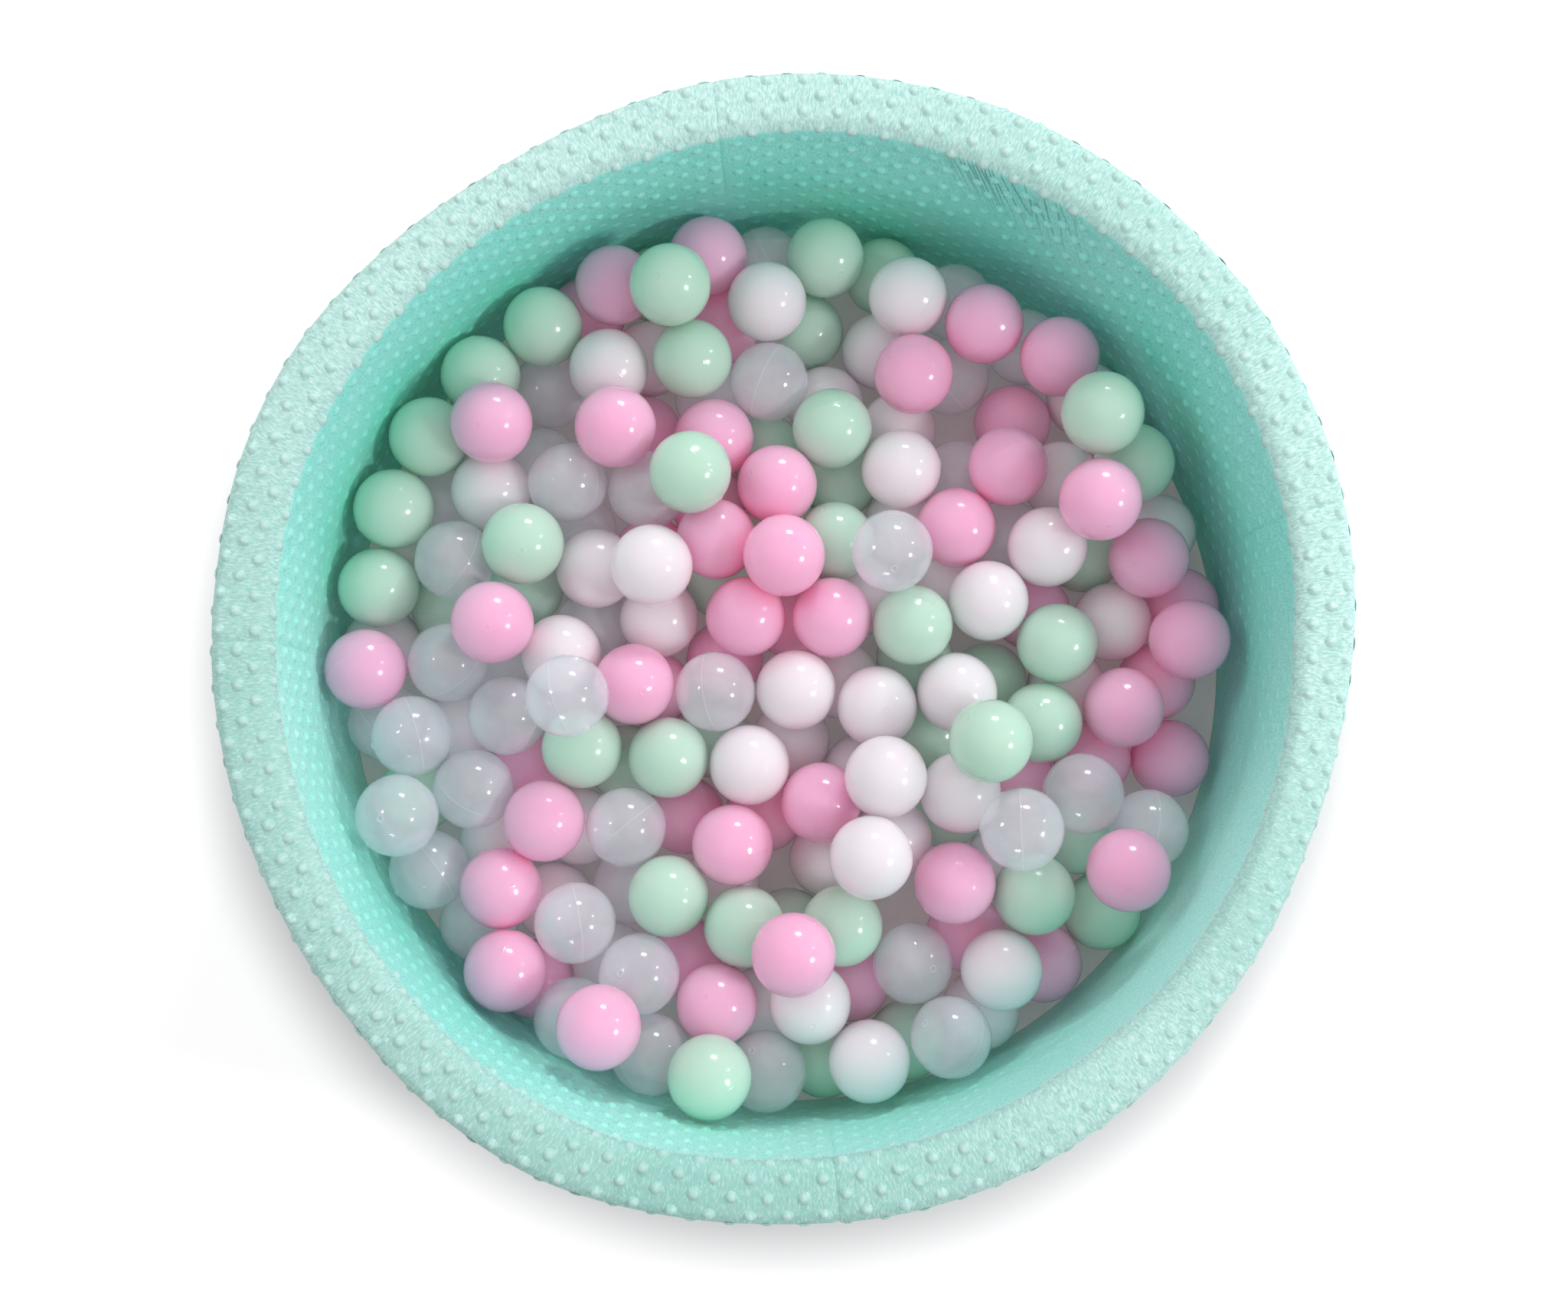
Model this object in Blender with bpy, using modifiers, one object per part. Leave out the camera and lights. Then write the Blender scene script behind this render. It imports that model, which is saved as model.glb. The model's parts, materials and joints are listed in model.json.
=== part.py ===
"""A round foam ball pit: a foam ring and a foam base in a sewn plush cover, filled with plastic balls.

Metres, +Z up. The origin is on the floor, under the middle of the pit. +X is to the right and +Y
to the back. The zip of the cover runs round the back, low on the outer wall.
"""

import math

import bmesh
import bpy
import numpy as np
from mathutils import Matrix, Vector

MM = 0.001

# Driving sizes of the pit
OUTER_DIAMETER = 900 * MM
HEIGHT = 300 * MM
WALL_THICKNESS = 50 * MM
BASE_FOAM_THICKNESS = 50 * MM
BALL_DIAMETER = 70 * MM

# Fits: what touches lies this far apart, and a turned shape has this many sides to the full turn
CLEARANCE = 0.3 * MM
TURN_SIDES = 48
MERGE_DISTANCE = 0.01 * MM

# Cover: plush on the walls and the inner floor, plain cloth underneath
COVER_THICKNESS = 3 * MM
UNDERSIDE_THICKNESS = 2 * MM
RIM_ROUNDING = 14 * MM
ROUNDING_STEPS = 3
UNDERSIDE_ROUNDING = 5 * MM
SKIRT_HEIGHT = 16 * MM
SEAM_ANGLES_DEG = (13.5, 97.4, 180.7, 275.4)
PANEL_NAMES = (
    "cover_panel_back_right", "cover_panel_back_left", "cover_panel_front_left", "cover_panel_front_right",
)
ZIPPED_PANELS = PANEL_NAMES[:2]

# Zip: two tapes, each with its row of teeth, let into the back wall between the skirt and the hem
TAPE_WIDTH = 12 * MM
TAPE_THICKNESS = 0.8 * MM
TAPE_INSET = 1.8 * MM
TEETH_WIDTH = 2.4 * MM
TEETH_THICKNESS = 1.6 * MM
TEETH_PROUD = 0.4 * MM
ZIP_SIDE_DEG = 5.0
STOP_LENGTH = 6 * MM
STOP_THICKNESS = 2 * MM
SLIDER_LENGTH = 14 * MM
SLIDER_PLATE = 1.2 * MM
SLIDER_LIP = 1.5 * MM
SLIDER_RUNNING_GAP = 0.6 * MM
BAR_THICKNESS = 1.5 * MM
PULL_LENGTH = 24 * MM
PULL_HEIGHT = 7 * MM
PULL_NECK_HEIGHT = 3 * MM
PULL_THICKNESS = 1.2 * MM
EYE_SIDES = 12

# Pile: places of the balls, as shares of the pit's inner radius, read from straight above on one
# level plane. A ball that lies above or below that plane is seen along a slanting line from the eye.
EYE_HEIGHT = 1600 * MM
EYE_SETBACK = 123 * MM
READING_HEIGHT = 86 * MM
LOOSE_BALL_SHARES = {
    "pink": (
        (-0.685, 0.543), (-0.40, 0.518), (0.73, 0.369), (0.005, 0.232), (-0.66, 0.073), (0.923, 0.047),
        (-0.936, -0.021), (-0.536, -0.366), (0.78, -0.476), (0.01, -0.664), (-0.62, -0.70),
        (-0.407, -0.819),
    ),
    "mint": (
        (-0.26, 0.853), (0.743, 0.558), (-0.21, 0.413), (-0.893, 0.345), (0.462, -0.202),
        (-0.163, -0.928),
    ),
    "white": (
        (-0.035, 0.824), (-0.297, 0.217), (0.201, -0.448), (0.19, -0.895),
    ),
    "clear": (
        (0.234, 0.247), (-0.492, -0.092), (-0.858, -0.353), (0.525, -0.381), (0.372, -0.84),
    ),
}
UPPER_BALL_SHARES = {
    "pink": (
        (-0.18, 0.922), (-0.40, 0.862), (0.457, 0.773), (0.632, 0.702), (0.296, 0.65), (-0.149, 0.516),
        (0.513, 0.438), (-0.013, 0.39), (0.39, 0.293), (0.83, 0.22), (-0.159, 0.263), (0.107, 0.085),
        (-0.092, 0.084), (-0.339, -0.063), (0.762, -0.122), (0.863, -0.23), (0.082, -0.316),
        (-0.127, -0.425), (0.375, -0.499), (-0.632, -0.52), (-0.153, -0.77),
    ),
    "mint": (
        (0.10, 0.926), (-0.557, 0.763), (-0.208, 0.687), (-0.696, 0.648), (0.115, 0.52),
        (-0.812, 0.506), (-0.597, 0.254), (-0.924, 0.159), (0.293, 0.071), (0.612, 0.028),
        (0.581, -0.153), (-0.448, -0.211), (-0.264, -0.233), (0.552, -0.534), (-0.267, -0.542),
        (0.705, -0.557), (-0.095, -0.603), (0.126, -0.611),
    ),
    "white": (
        (0.281, 0.831), (-0.40, 0.676), (0.268, 0.422), (-0.671, 0.395), (0.591, 0.256), (-0.438, 0.19),
        (0.463, 0.129), (-0.30, 0.085), (0.73, 0.079), (-0.498, 0.006), (0.022, -0.073),
        (0.384, -0.084), (0.205, -0.112), (-0.083, -0.248), (0.238, -0.261), (0.388, -0.313),
        (0.483, -0.688), (0.052, -0.782),
    ),
    "clear": (
        (-0.026, 0.637), (-0.49, 0.393), (-0.756, 0.227), (-0.157, -0.084), (-0.62, -0.136),
        (-0.826, -0.17), (-0.695, -0.30), (0.69, -0.316), (-0.355, -0.387), (0.796, -0.39),
        (-0.777, -0.472), (-0.467, -0.601), (0.294, -0.682), (-0.322, -0.712), (-0.479, -0.806),
        (-0.296, -0.894), (-0.053, -0.918),
    ),
}
LOWER_BALL_SHARES = {
    "pink": (
        (-0.14, 0.767), (0.513, 0.53), (-0.31, 0.524), (0.889, 0.137), (0.565, 0.107), (0.02, 0.07),
        (0.845, -0.052), (0.68, -0.227), (0.515, -0.256), (-0.047, -0.353), (-0.22, -0.371),
        (0.402, -0.614), (0.578, -0.684), (0.16, -0.729),
    ),
    "mint": (
        (0.232, 0.881), (0.045, 0.734), (-0.02, 0.499), (0.80, 0.45), (0.15, 0.40), (0.107, 0.26),
        (0.695, 0.226), (-0.59, 0.16), (-0.77, 0.11), (0.462, -0.05), (0.318, -0.165), (-0.37, -0.26),
        (-0.83, -0.27), (0.66, -0.40), (0.27, -0.85), (0.09, -0.888),
    ),
    "white": (
        (0.217, 0.70), (0.672, 0.583), (0.103, 0.573), (0.268, 0.544), (0.63, 0.41), (0.84, 0.28),
        (0.19, 0.15), (0.13, -0.02), (0.02, -0.183), (0.18, -0.247), (-0.46, -0.378), (0.275, -0.388),
        (-0.655, -0.40), (0.086, -0.456), (-0.50, -0.55), (0.437, -0.787),
    ),
    "clear": (
        (-0.043, 0.90), (0.40, 0.827), (0.56, 0.712), (0.36, 0.628), (-0.546, 0.544), (0.393, 0.44),
        (-0.309, 0.383), (-0.79, 0.35), (-0.755, -0.018), (-0.64, -0.03), (-0.90, -0.147),
        (-0.37, -0.515), (-0.672, -0.596),
    ),
}
# Height at which each tier is let go above the inner floor, as a share of the ball's diameter
LOOSE_DROP_SHARE = 2.1
UPPER_DROP_SHARE = 1.7
LOWER_DROP_SHARE = 1.1
# The floor is filled up in rows of this pitch, where no ball above is nearer than the room share
FILL_PITCH_SHARE = 1.02
FILL_ROOM_SHARE = 0.84
# Settling goes in stages, each of so many rounds. In a round the balls sink by a share of their
# diameter, are drawn back towards their read places, and are parted so many times.
SETTLING_ROUND_COUNTS = (120, 120, 80, 40)
SINKING_SHARES = (0.0143, 0.0086, 0.0043, 0.0014)
DRAWING_SHARES = (0.3, 0.3, 0.1, 0.0)
PARTING_COUNTS = (6, 8, 10, 10)
LAST_PARTING_COUNTS = (400, 400, 400, 400, 400, 400, 400, 400)
PARTING_RATE_SHARE = 1.5
NEAR_SHARE = 1.25

# Faceted balls: a loose ball is a globe, and a bedded one a skin over points on the ball. The points
# are where it touches its neighbours, three round each neck that joins it on, and an even spread.
LOOSE_BALL_SEGMENTS = 12
LOOSE_BALL_RINGS = 7
SHOWING_SUBDIVISIONS = 2
HIDDEN_SUBDIVISIONS = 1
SHOWING_ROOM = math.radians(17)
HIDDEN_ROOM = math.radians(31)
NECK_HALF_ANGLE = math.radians(12)
NECK_SIDES = 3
TOUCH_SHARE = 1.01
# The bedded balls are shared out among beds in rings: a ring's radius share, and its number of beds
BED_RING_SHARES = ((0.0, 1), (0.45, 6), (0.8, 9))

# Colours and finishes: linear colour, roughness, metallic
FINISHES = {
    "plush": ((0.35, 0.72, 0.62, 1), 0.95, 0.0),
    "cloth": ((0.80, 0.80, 0.78, 1), 0.9, 0.0),
    "foam": ((0.86, 0.84, 0.74, 1), 0.95, 0.0),
    "tape": ((0.42, 0.76, 0.67, 1), 0.8, 0.0),
    "nylon": ((0.62, 0.84, 0.78, 1), 0.45, 0.0),
    "zip_metal": ((0.66, 0.67, 0.68, 1), 0.3, 1.0),
    "pink": ((0.94, 0.45, 0.68, 1), 0.25, 0.0),
    "mint": ((0.45, 0.75, 0.58, 1), 0.25, 0.0),
    "white": ((0.86, 0.85, 0.86, 1), 0.25, 0.0),
    "clear": ((0.62, 0.66, 0.69, 0.6), 0.2, 0.0),
}
BALL_COLOURS = ("pink", "mint", "white", "clear")
SMOOTH_ANGLE = math.radians(40)

# Sizes that follow from those above
OUTER_RADIUS = OUTER_DIAMETER / 2
INNER_RADIUS = OUTER_RADIUS - WALL_THICKNESS
BALL_RADIUS = BALL_DIAMETER / 2
BASE_FOAM_BOTTOM = UNDERSIDE_THICKNESS + CLEARANCE
BASE_FOAM_TOP = BASE_FOAM_BOTTOM + BASE_FOAM_THICKNESS
FLOOR_UNDERSIDE = BASE_FOAM_TOP + CLEARANCE
FLOOR_TOP = FLOOR_UNDERSIDE + COVER_THICKNESS
SIDE_HALF_ANGLE = math.pi / TURN_SIDES
LOWER_TAPE_Z = SKIRT_HEIGHT + CLEARANCE
LOWER_TEETH_Z = LOWER_TAPE_Z + TAPE_WIDTH + CLEARANCE
UPPER_TEETH_Z = LOWER_TEETH_Z + TEETH_WIDTH + CLEARANCE
UPPER_TAPE_Z = UPPER_TEETH_Z + TEETH_WIDTH + CLEARANCE
ZIPPED_HEM_Z = UPPER_TAPE_Z + TAPE_WIDTH + CLEARANCE
ZIP_MIDDLE_Z = UPPER_TEETH_Z - CLEARANCE / 2
TAPE_OUTER_RADIUS = OUTER_RADIUS - TAPE_INSET
TEETH_OUTER_RADIUS = TAPE_OUTER_RADIUS + TEETH_PROUD
SLIDER_INNER_RADIUS = TEETH_OUTER_RADIUS + SLIDER_RUNNING_GAP
STOP_OUTER_RADIUS = SLIDER_INNER_RADIUS + SLIDER_PLATE / 2
SLIDER_OUTER_RADIUS = SLIDER_INNER_RADIUS + SLIDER_PLATE
SLIDER_HEIGHT = 2 * TEETH_WIDTH + 2 * SLIDER_RUNNING_GAP + 2 * SLIDER_LIP + CLEARANCE
EYE_HOLE_RADIUS = (BAR_THICKNESS / math.sqrt(2) + CLEARANCE) / math.cos(math.pi / EYE_SIDES)
EYE_OUTER_RADIUS = EYE_HOLE_RADIUS + PULL_THICKNESS
PIVOT_RADIUS = SLIDER_OUTER_RADIUS + CLEARANCE + EYE_OUTER_RADIUS
ZIP_START = math.radians(SEAM_ANGLES_DEG[0]) + CLEARANCE / OUTER_RADIUS
ZIP_END = math.radians(SEAM_ANGLES_DEG[2]) - CLEARANCE / OUTER_RADIUS
STOP_ANGLE = (STOP_LENGTH + 2 * CLEARANCE) / OUTER_RADIUS
SLIDER_REST_ANGLE = ZIP_START + STOP_ANGLE + (SLIDER_LENGTH / 2 + SLIDER_RUNNING_GAP) / OUTER_RADIUS


def start_scene():
    """Clears the scene and returns the collection that the pit's pieces go in."""
    for old in list(bpy.data.objects):
        bpy.data.objects.remove(old)
    collection = bpy.data.collections.new("ball_pit")
    bpy.context.scene.collection.children.link(collection)
    return collection


def make_materials():
    """One Principled material for each finish."""
    materials = {}
    for name, (colour, roughness, metallic) in FINISHES.items():
        material = bpy.data.materials.new(name)
        material.use_nodes = True
        shader = material.node_tree.nodes["Principled BSDF"]
        shader.inputs["Base Color"].default_value = colour
        shader.inputs["Roughness"].default_value = roughness
        shader.inputs["Metallic"].default_value = metallic
        shader.inputs["Alpha"].default_value = colour[3]
        materials[name] = material
    return materials


def add_object(pit, name, mesh, finishes, parent=None, place=None):
    """Links a mesh as one named piece with its finishes."""
    piece = bpy.data.objects.new(name, mesh)
    pit["collection"].objects.link(piece)
    for finish in finishes:
        mesh.materials.append(pit["materials"][finish])
    if parent:
        piece.parent = parent
    if place:
        piece.matrix_local = place
    return piece


def smooth(mesh):
    """Shades a mesh smooth, with its corners kept sharp."""
    mesh.shade_smooth()
    mesh.set_sharp_from_angle(angle=SMOOTH_ANGLE)


def mesh_from(bm, name):
    """Turns a bmesh into a mesh and frees it."""
    mesh = bpy.data.meshes.new(name)
    bm.to_mesh(mesh)
    bm.free()
    smooth(mesh)
    return mesh


def rounded_corner(centre_r, centre_z, radius, start, end):
    """Points (r, z) of an arc in the profile plane, from one angle to another."""
    angles = [start + (end - start) * step / ROUNDING_STEPS for step in range(ROUNDING_STEPS + 1)]
    return [(centre_r + radius * math.cos(angle), centre_z + radius * math.sin(angle)) for angle in angles]


def rim_profile(inner, outer, top, rounding):
    """Points (r, z) over the rim of the wall, from inside to outside."""
    upper = top - rounding
    inside = rounded_corner(inner + rounding, upper, rounding, math.pi, math.pi / 2)
    return inside + rounded_corner(outer - rounding, upper, rounding, math.pi / 2, 0)


def profile_mesh(name, points):
    """A line of points (r, z) in the XZ plane, for a Screw modifier."""
    mesh = bpy.data.meshes.new(name)
    links = [(index - 1, index) for index in range(1, len(points))]
    mesh.from_pydata([(r, 0, z) for r, z in points], links, [])
    return mesh


def sides_for(sweep):
    """How many flat sides a turned piece of this sweep has."""
    return max(2, math.ceil(sweep / (2 * SIDE_HALF_ANGLE) - SIDE_HALF_ANGLE))


def turned_shell(pit, name, finish, points, thickness, start, sweep, full=False):
    """A thin piece of cover: an open profile turned by a Screw and thickened to its inner side."""
    piece = add_object(pit, name, profile_mesh(name, points), [finish])
    piece.rotation_euler.z = start
    screw = piece.modifiers.new("turn", "SCREW")
    screw.angle = sweep
    screw.steps = TURN_SIDES if full else sides_for(sweep)
    screw.render_steps = screw.steps
    screw.use_merge_vertices = full
    screw.merge_threshold = MERGE_DISTANCE
    screw.use_smooth_shade = True
    wall = piece.modifiers.new("thickness", "SOLIDIFY")
    wall.thickness = thickness
    wall.offset = -1
    wall.use_even_offset = True
    return piece


def turned_solid(name, points, start, sweep, sides):
    """A solid arc: a closed profile turned about Z, with its two ends filled."""
    bm = bmesh.new()
    corners = [bm.verts.new((r * math.cos(start), r * math.sin(start), z)) for r, z in points]
    edges = [bm.edges.new((corners[index - 1], corners[index])) for index in range(len(corners))]
    bmesh.ops.spin(
        bm, geom=corners + edges, cent=(0, 0, 0), axis=(0, 0, 1), angle=sweep, steps=sides, use_merge=False
    )
    bmesh.ops.remove_doubles(bm, verts=bm.verts, dist=MERGE_DISTANCE)
    bmesh.ops.holes_fill(bm, edges=[edge for edge in bm.edges if edge.is_boundary])
    bmesh.ops.recalc_face_normals(bm, faces=bm.faces)
    return mesh_from(bm, name)


def rectangle(inner, outer, bottom, top):
    """Profile (r, z) of a rectangle."""
    return [(outer, top), (outer, bottom), (inner, bottom), (inner, top)]


def foam_ring_radii():
    """Inner and outer radius of the foam ring, clear of the flat sides of the cover round it."""
    flat = math.cos(SIDE_HALF_ANGLE)
    inner = (INNER_RADIUS + COVER_THICKNESS + CLEARANCE) / flat
    outer = (OUTER_RADIUS - COVER_THICKNESS) * flat - CLEARANCE
    return inner, outer


def add_foam(pit):
    """The foam ring, glued up from two halves, and the foam disc of the base inside it."""
    inner, outer = foam_ring_radii()
    lining = COVER_THICKNESS + CLEARANCE
    profile = rim_profile(inner, outer, HEIGHT - lining, RIM_ROUNDING - lining)
    profile += [(outer, BASE_FOAM_BOTTOM), (inner, BASE_FOAM_BOTTOM)]
    gap_angle = CLEARANCE / inner
    for name, start in (("wall_foam_back", 0), ("wall_foam_front", math.pi)):
        mesh = turned_solid(name, profile, start + gap_angle, math.pi - 2 * gap_angle, TURN_SIDES // 2)
        add_object(pit, name, mesh, ["foam"])
    base_radius = inner * math.cos(SIDE_HALF_ANGLE) - CLEARANCE
    base = disc_mesh("base_foam", base_radius, BASE_FOAM_BOTTOM, BASE_FOAM_TOP)
    add_object(pit, "base_foam", base, ["foam"])


def disc_mesh(name, radius, bottom, top):
    """A round disc of even thickness."""
    bm = bmesh.new()
    bmesh.ops.create_cone(
        bm, cap_ends=True, segments=TURN_SIDES, radius1=radius, radius2=radius, depth=top - bottom,
        matrix=Matrix.Translation((0, 0, (top + bottom) / 2)),
    )
    return mesh_from(bm, name)


def add_cover(pit):
    """The sewn cover: four wall panels over the rim, the inner floor, and the underside with its skirt."""
    gap_angle = CLEARANCE / OUTER_RADIUS
    for index, name in enumerate(PANEL_NAMES):
        start = math.radians(SEAM_ANGLES_DEG[index]) + gap_angle
        next_seam = SEAM_ANGLES_DEG[(index + 1) % len(SEAM_ANGLES_DEG)]
        sweep = math.radians((next_seam - SEAM_ANGLES_DEG[index]) % 360) - 2 * gap_angle
        hem = ZIPPED_HEM_Z if name in ZIPPED_PANELS else SKIRT_HEIGHT + CLEARANCE
        line = [(INNER_RADIUS, FLOOR_UNDERSIDE)]
        line += rim_profile(INNER_RADIUS, OUTER_RADIUS, HEIGHT, RIM_ROUNDING)
        line.append((OUTER_RADIUS, hem))
        turned_shell(pit, name, "plush", line, COVER_THICKNESS, start, sweep)
    floor_radius = INNER_RADIUS * math.cos(SIDE_HALF_ANGLE) - CLEARANCE
    floor = disc_mesh("cover_floor", floor_radius, FLOOR_UNDERSIDE, FLOOR_TOP)
    add_object(pit, "cover_floor", floor, ["cloth"])
    rounding = UNDERSIDE_ROUNDING
    corner = rounded_corner(OUTER_RADIUS - rounding, rounding, rounding, 0, -math.pi / 2)
    line = [(OUTER_RADIUS, SKIRT_HEIGHT), *corner, (0, 0)]
    turned_shell(pit, "cover_underside", "cloth", line, UNDERSIDE_THICKNESS, 0, 2 * math.pi, full=True)


def add_zip_bands(pit):
    """Both tapes, both rows of teeth and the stops at their ends."""
    sweep = ZIP_END - ZIP_START
    sides = math.ceil(math.degrees(sweep) / ZIP_SIDE_DEG)
    tape_inner = TAPE_OUTER_RADIUS - TAPE_THICKNESS
    for name, bottom in (("zip_tape_lower", LOWER_TAPE_Z), ("zip_tape_upper", UPPER_TAPE_Z)):
        band = rectangle(tape_inner, TAPE_OUTER_RADIUS, bottom, bottom + TAPE_WIDTH)
        add_object(pit, name, turned_solid(name, band, ZIP_START, sweep, sides), ["tape"])
    teeth_inner = TEETH_OUTER_RADIUS - TEETH_THICKNESS
    for name, bottom in (("zip_teeth_lower", LOWER_TEETH_Z), ("zip_teeth_upper", UPPER_TEETH_Z)):
        row = rectangle(teeth_inner, TEETH_OUTER_RADIUS, bottom, bottom + TEETH_WIDTH)
        mesh = turned_solid(name, row, ZIP_START + STOP_ANGLE, sweep - 2 * STOP_ANGLE, sides)
        add_object(pit, name, mesh, ["nylon"])
    stop_inner = STOP_OUTER_RADIUS - STOP_THICKNESS
    stop = rectangle(stop_inner, STOP_OUTER_RADIUS, LOWER_TEETH_Z, UPPER_TEETH_Z + TEETH_WIDTH)
    stop_sweep = STOP_LENGTH / OUTER_RADIUS
    for name, start in (("zip_stop_start", ZIP_START), ("zip_stop_end", ZIP_END - stop_sweep)):
        add_object(pit, name, turned_solid(name, stop, start, stop_sweep, 1), ["zip_metal"])


def extruded(name, outlines, half_height):
    """A flat outline in XY, with its holes, extruded to both sides along Z, as a closed mesh."""
    curve = bpy.data.curves.new(name, "CURVE")
    curve.dimensions = "2D"
    curve.fill_mode = "BOTH"
    curve.extrude = half_height
    for outline in outlines:
        spline = curve.splines.new("POLY")
        spline.points.add(len(outline) - 1)
        for point, (x, y) in zip(spline.points, outline):
            point.co = (x, y, 0, 1)
        spline.use_cyclic_u = True
    helper = bpy.data.objects.new(name, curve)
    bpy.context.scene.collection.objects.link(helper)
    graph = bpy.context.evaluated_depsgraph_get()
    bm = bmesh.new()
    bm.from_mesh(bpy.data.meshes.new_from_object(helper.evaluated_get(graph)))
    bpy.data.objects.remove(helper)
    bmesh.ops.remove_doubles(bm, verts=bm.verts, dist=MERGE_DISTANCE)
    bmesh.ops.recalc_face_normals(bm, faces=bm.faces)
    return mesh_from(bm, name)


def block(x_from, x_to, y_from, y_to):
    """Outline of a rectangle in a plan view."""
    return [(x_from, y_from), (x_to, y_from), (x_to, y_to), (x_from, y_to)]


def ring(radius):
    """Outline of an eye's rim or hole in a plan view."""
    angles = [2 * math.pi * corner / EYE_SIDES for corner in range(EYE_SIDES)]
    return [(radius * math.cos(angle), radius * math.sin(angle)) for angle in angles]


def add_zip_slider(pit):
    """The slider astride the teeth, and its pull on the slider's bar.

    Both are built lying along +X of an empty on the pit's axis, which turns them to the slider's
    place: X is outward from the pit, Y is along the zip and Z is up.
    """
    slide_axis = bpy.data.objects.new("zip_slide_axis", None)
    pit["collection"].objects.link(slide_axis)
    slide_axis.location.z = ZIP_MIDDLE_Z
    slide_axis.rotation_euler.z = SLIDER_REST_ANGLE
    half_height = SLIDER_HEIGHT / 2
    lip_inner = TAPE_OUTER_RADIUS + SLIDER_RUNNING_GAP
    channel_half = half_height - SLIDER_LIP
    plate = [
        (lip_inner, -half_height), (SLIDER_OUTER_RADIUS, -half_height), (SLIDER_OUTER_RADIUS, half_height),
        (lip_inner, half_height), (lip_inner, channel_half), (SLIDER_INNER_RADIUS, channel_half),
        (SLIDER_INNER_RADIUS, -channel_half), (lip_inner, -channel_half),
    ]
    root = SLIDER_OUTER_RADIUS - SLIDER_PLATE / 2
    post_outer = PIVOT_RADIUS + BAR_THICKNESS / 2
    bar_inner = PIVOT_RADIUS - BAR_THICKNESS / 2
    bar_half = PULL_NECK_HEIGHT / 2 + CLEARANCE
    post_half = bar_half + BAR_THICKNESS
    staple = [
        (root, -post_half), (post_outer, -post_half), (post_outer, post_half), (root, post_half),
        (root, bar_half), (bar_inner, bar_half), (bar_inner, -bar_half), (root, -bar_half),
    ]
    upright = Matrix.Rotation(math.pi / 2, 4, "X")
    mesh = extruded("zip_slider", [plate], SLIDER_LENGTH / 2)
    slider = add_object(pit, "zip_slider", mesh, ["zip_metal"], slide_axis, upright)
    unite(pit, slider, extruded("slider_bridge", [staple], BAR_THICKNESS / 2), upright)
    add_zip_pull(pit, slide_axis)


def add_zip_pull(pit, slide_axis):
    """The pull: an eye round the slider's bar, a neck between the bar's posts, and a grip."""
    pivot = bpy.data.objects.new("zip_pull_pivot", None)
    pit["collection"].objects.link(pivot)
    pivot.parent = slide_axis
    pivot.location.x = PIVOT_RADIUS
    tab_half = PULL_THICKNESS / 2
    eye = [ring(radius) for radius in (EYE_OUTER_RADIUS, EYE_HOLE_RADIUS)]
    neck = [block(-tab_half, tab_half, -PULL_LENGTH, tab_half - EYE_OUTER_RADIUS)]
    grip = [block(-tab_half, tab_half, -PULL_LENGTH, -SLIDER_LENGTH / 2 - CLEARANCE)]
    mesh = extruded("zip_pull", eye, PULL_NECK_HEIGHT / 2)
    pull = add_object(pit, "zip_pull", mesh, ["zip_metal"], pivot)
    unite(pit, pull, extruded("pull_neck", neck, PULL_NECK_HEIGHT / 2 - CLEARANCE))
    unite(pit, pull, extruded("pull_grip", grip, PULL_HEIGHT / 2))


def unite(pit, piece, mesh, place=None):
    """Unites a mesh, in the piece's frame, with a piece by a Boolean, which it applies."""
    helper = add_object(pit, mesh.name, mesh, ["zip_metal"], piece.parent, place)
    union = piece.modifiers.new("union", "BOOLEAN")
    union.operation = "UNION"
    union.object = helper
    bpy.context.view_layer.update()
    graph = bpy.context.evaluated_depsgraph_get()
    united = bpy.data.meshes.new_from_object(piece.evaluated_get(graph))
    piece.modifiers.clear()
    piece.data = united
    smooth(united)
    bpy.data.objects.remove(helper)


def along_sight(readings, heights):
    """Where balls read on the reading plane lie once they are at their own heights."""
    eye = np.array([0.0, -EYE_SETBACK])
    nearness = (EYE_HEIGHT - heights) / (EYE_HEIGHT - READING_HEIGHT)
    return eye + (readings - eye) * nearness[:, None]


def pile_limits():
    """How far out and how low the centre of a ball can lie."""
    limit = INNER_RADIUS * math.cos(SIDE_HALF_ANGLE) - CLEARANCE - BALL_RADIUS
    return limit, FLOOR_TOP + CLEARANCE + BALL_RADIUS


def with_floor_filled(centres, limit, floor):
    """The balls, and after them those that nothing shows: rows on the floor, where there is room."""
    pitch = BALL_DIAMETER * FILL_PITCH_SHARE
    row_pitch = pitch * math.sin(math.pi / 3)
    rows = int(INNER_RADIUS / row_pitch) + 1
    filled = [*centres]
    for row in range(-rows, rows + 1):
        for column in range(-rows, rows + 1):
            place = np.array([(column + row % 2 / 2) * pitch, row * row_pitch, floor])
            if math.hypot(place[0], place[1]) > limit:
                continue
            if np.linalg.norm(np.array(filled) - place, axis=1).min() >= BALL_DIAMETER * FILL_ROOM_SHARE:
                filled.append(place)
    return np.array(filled)


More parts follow.
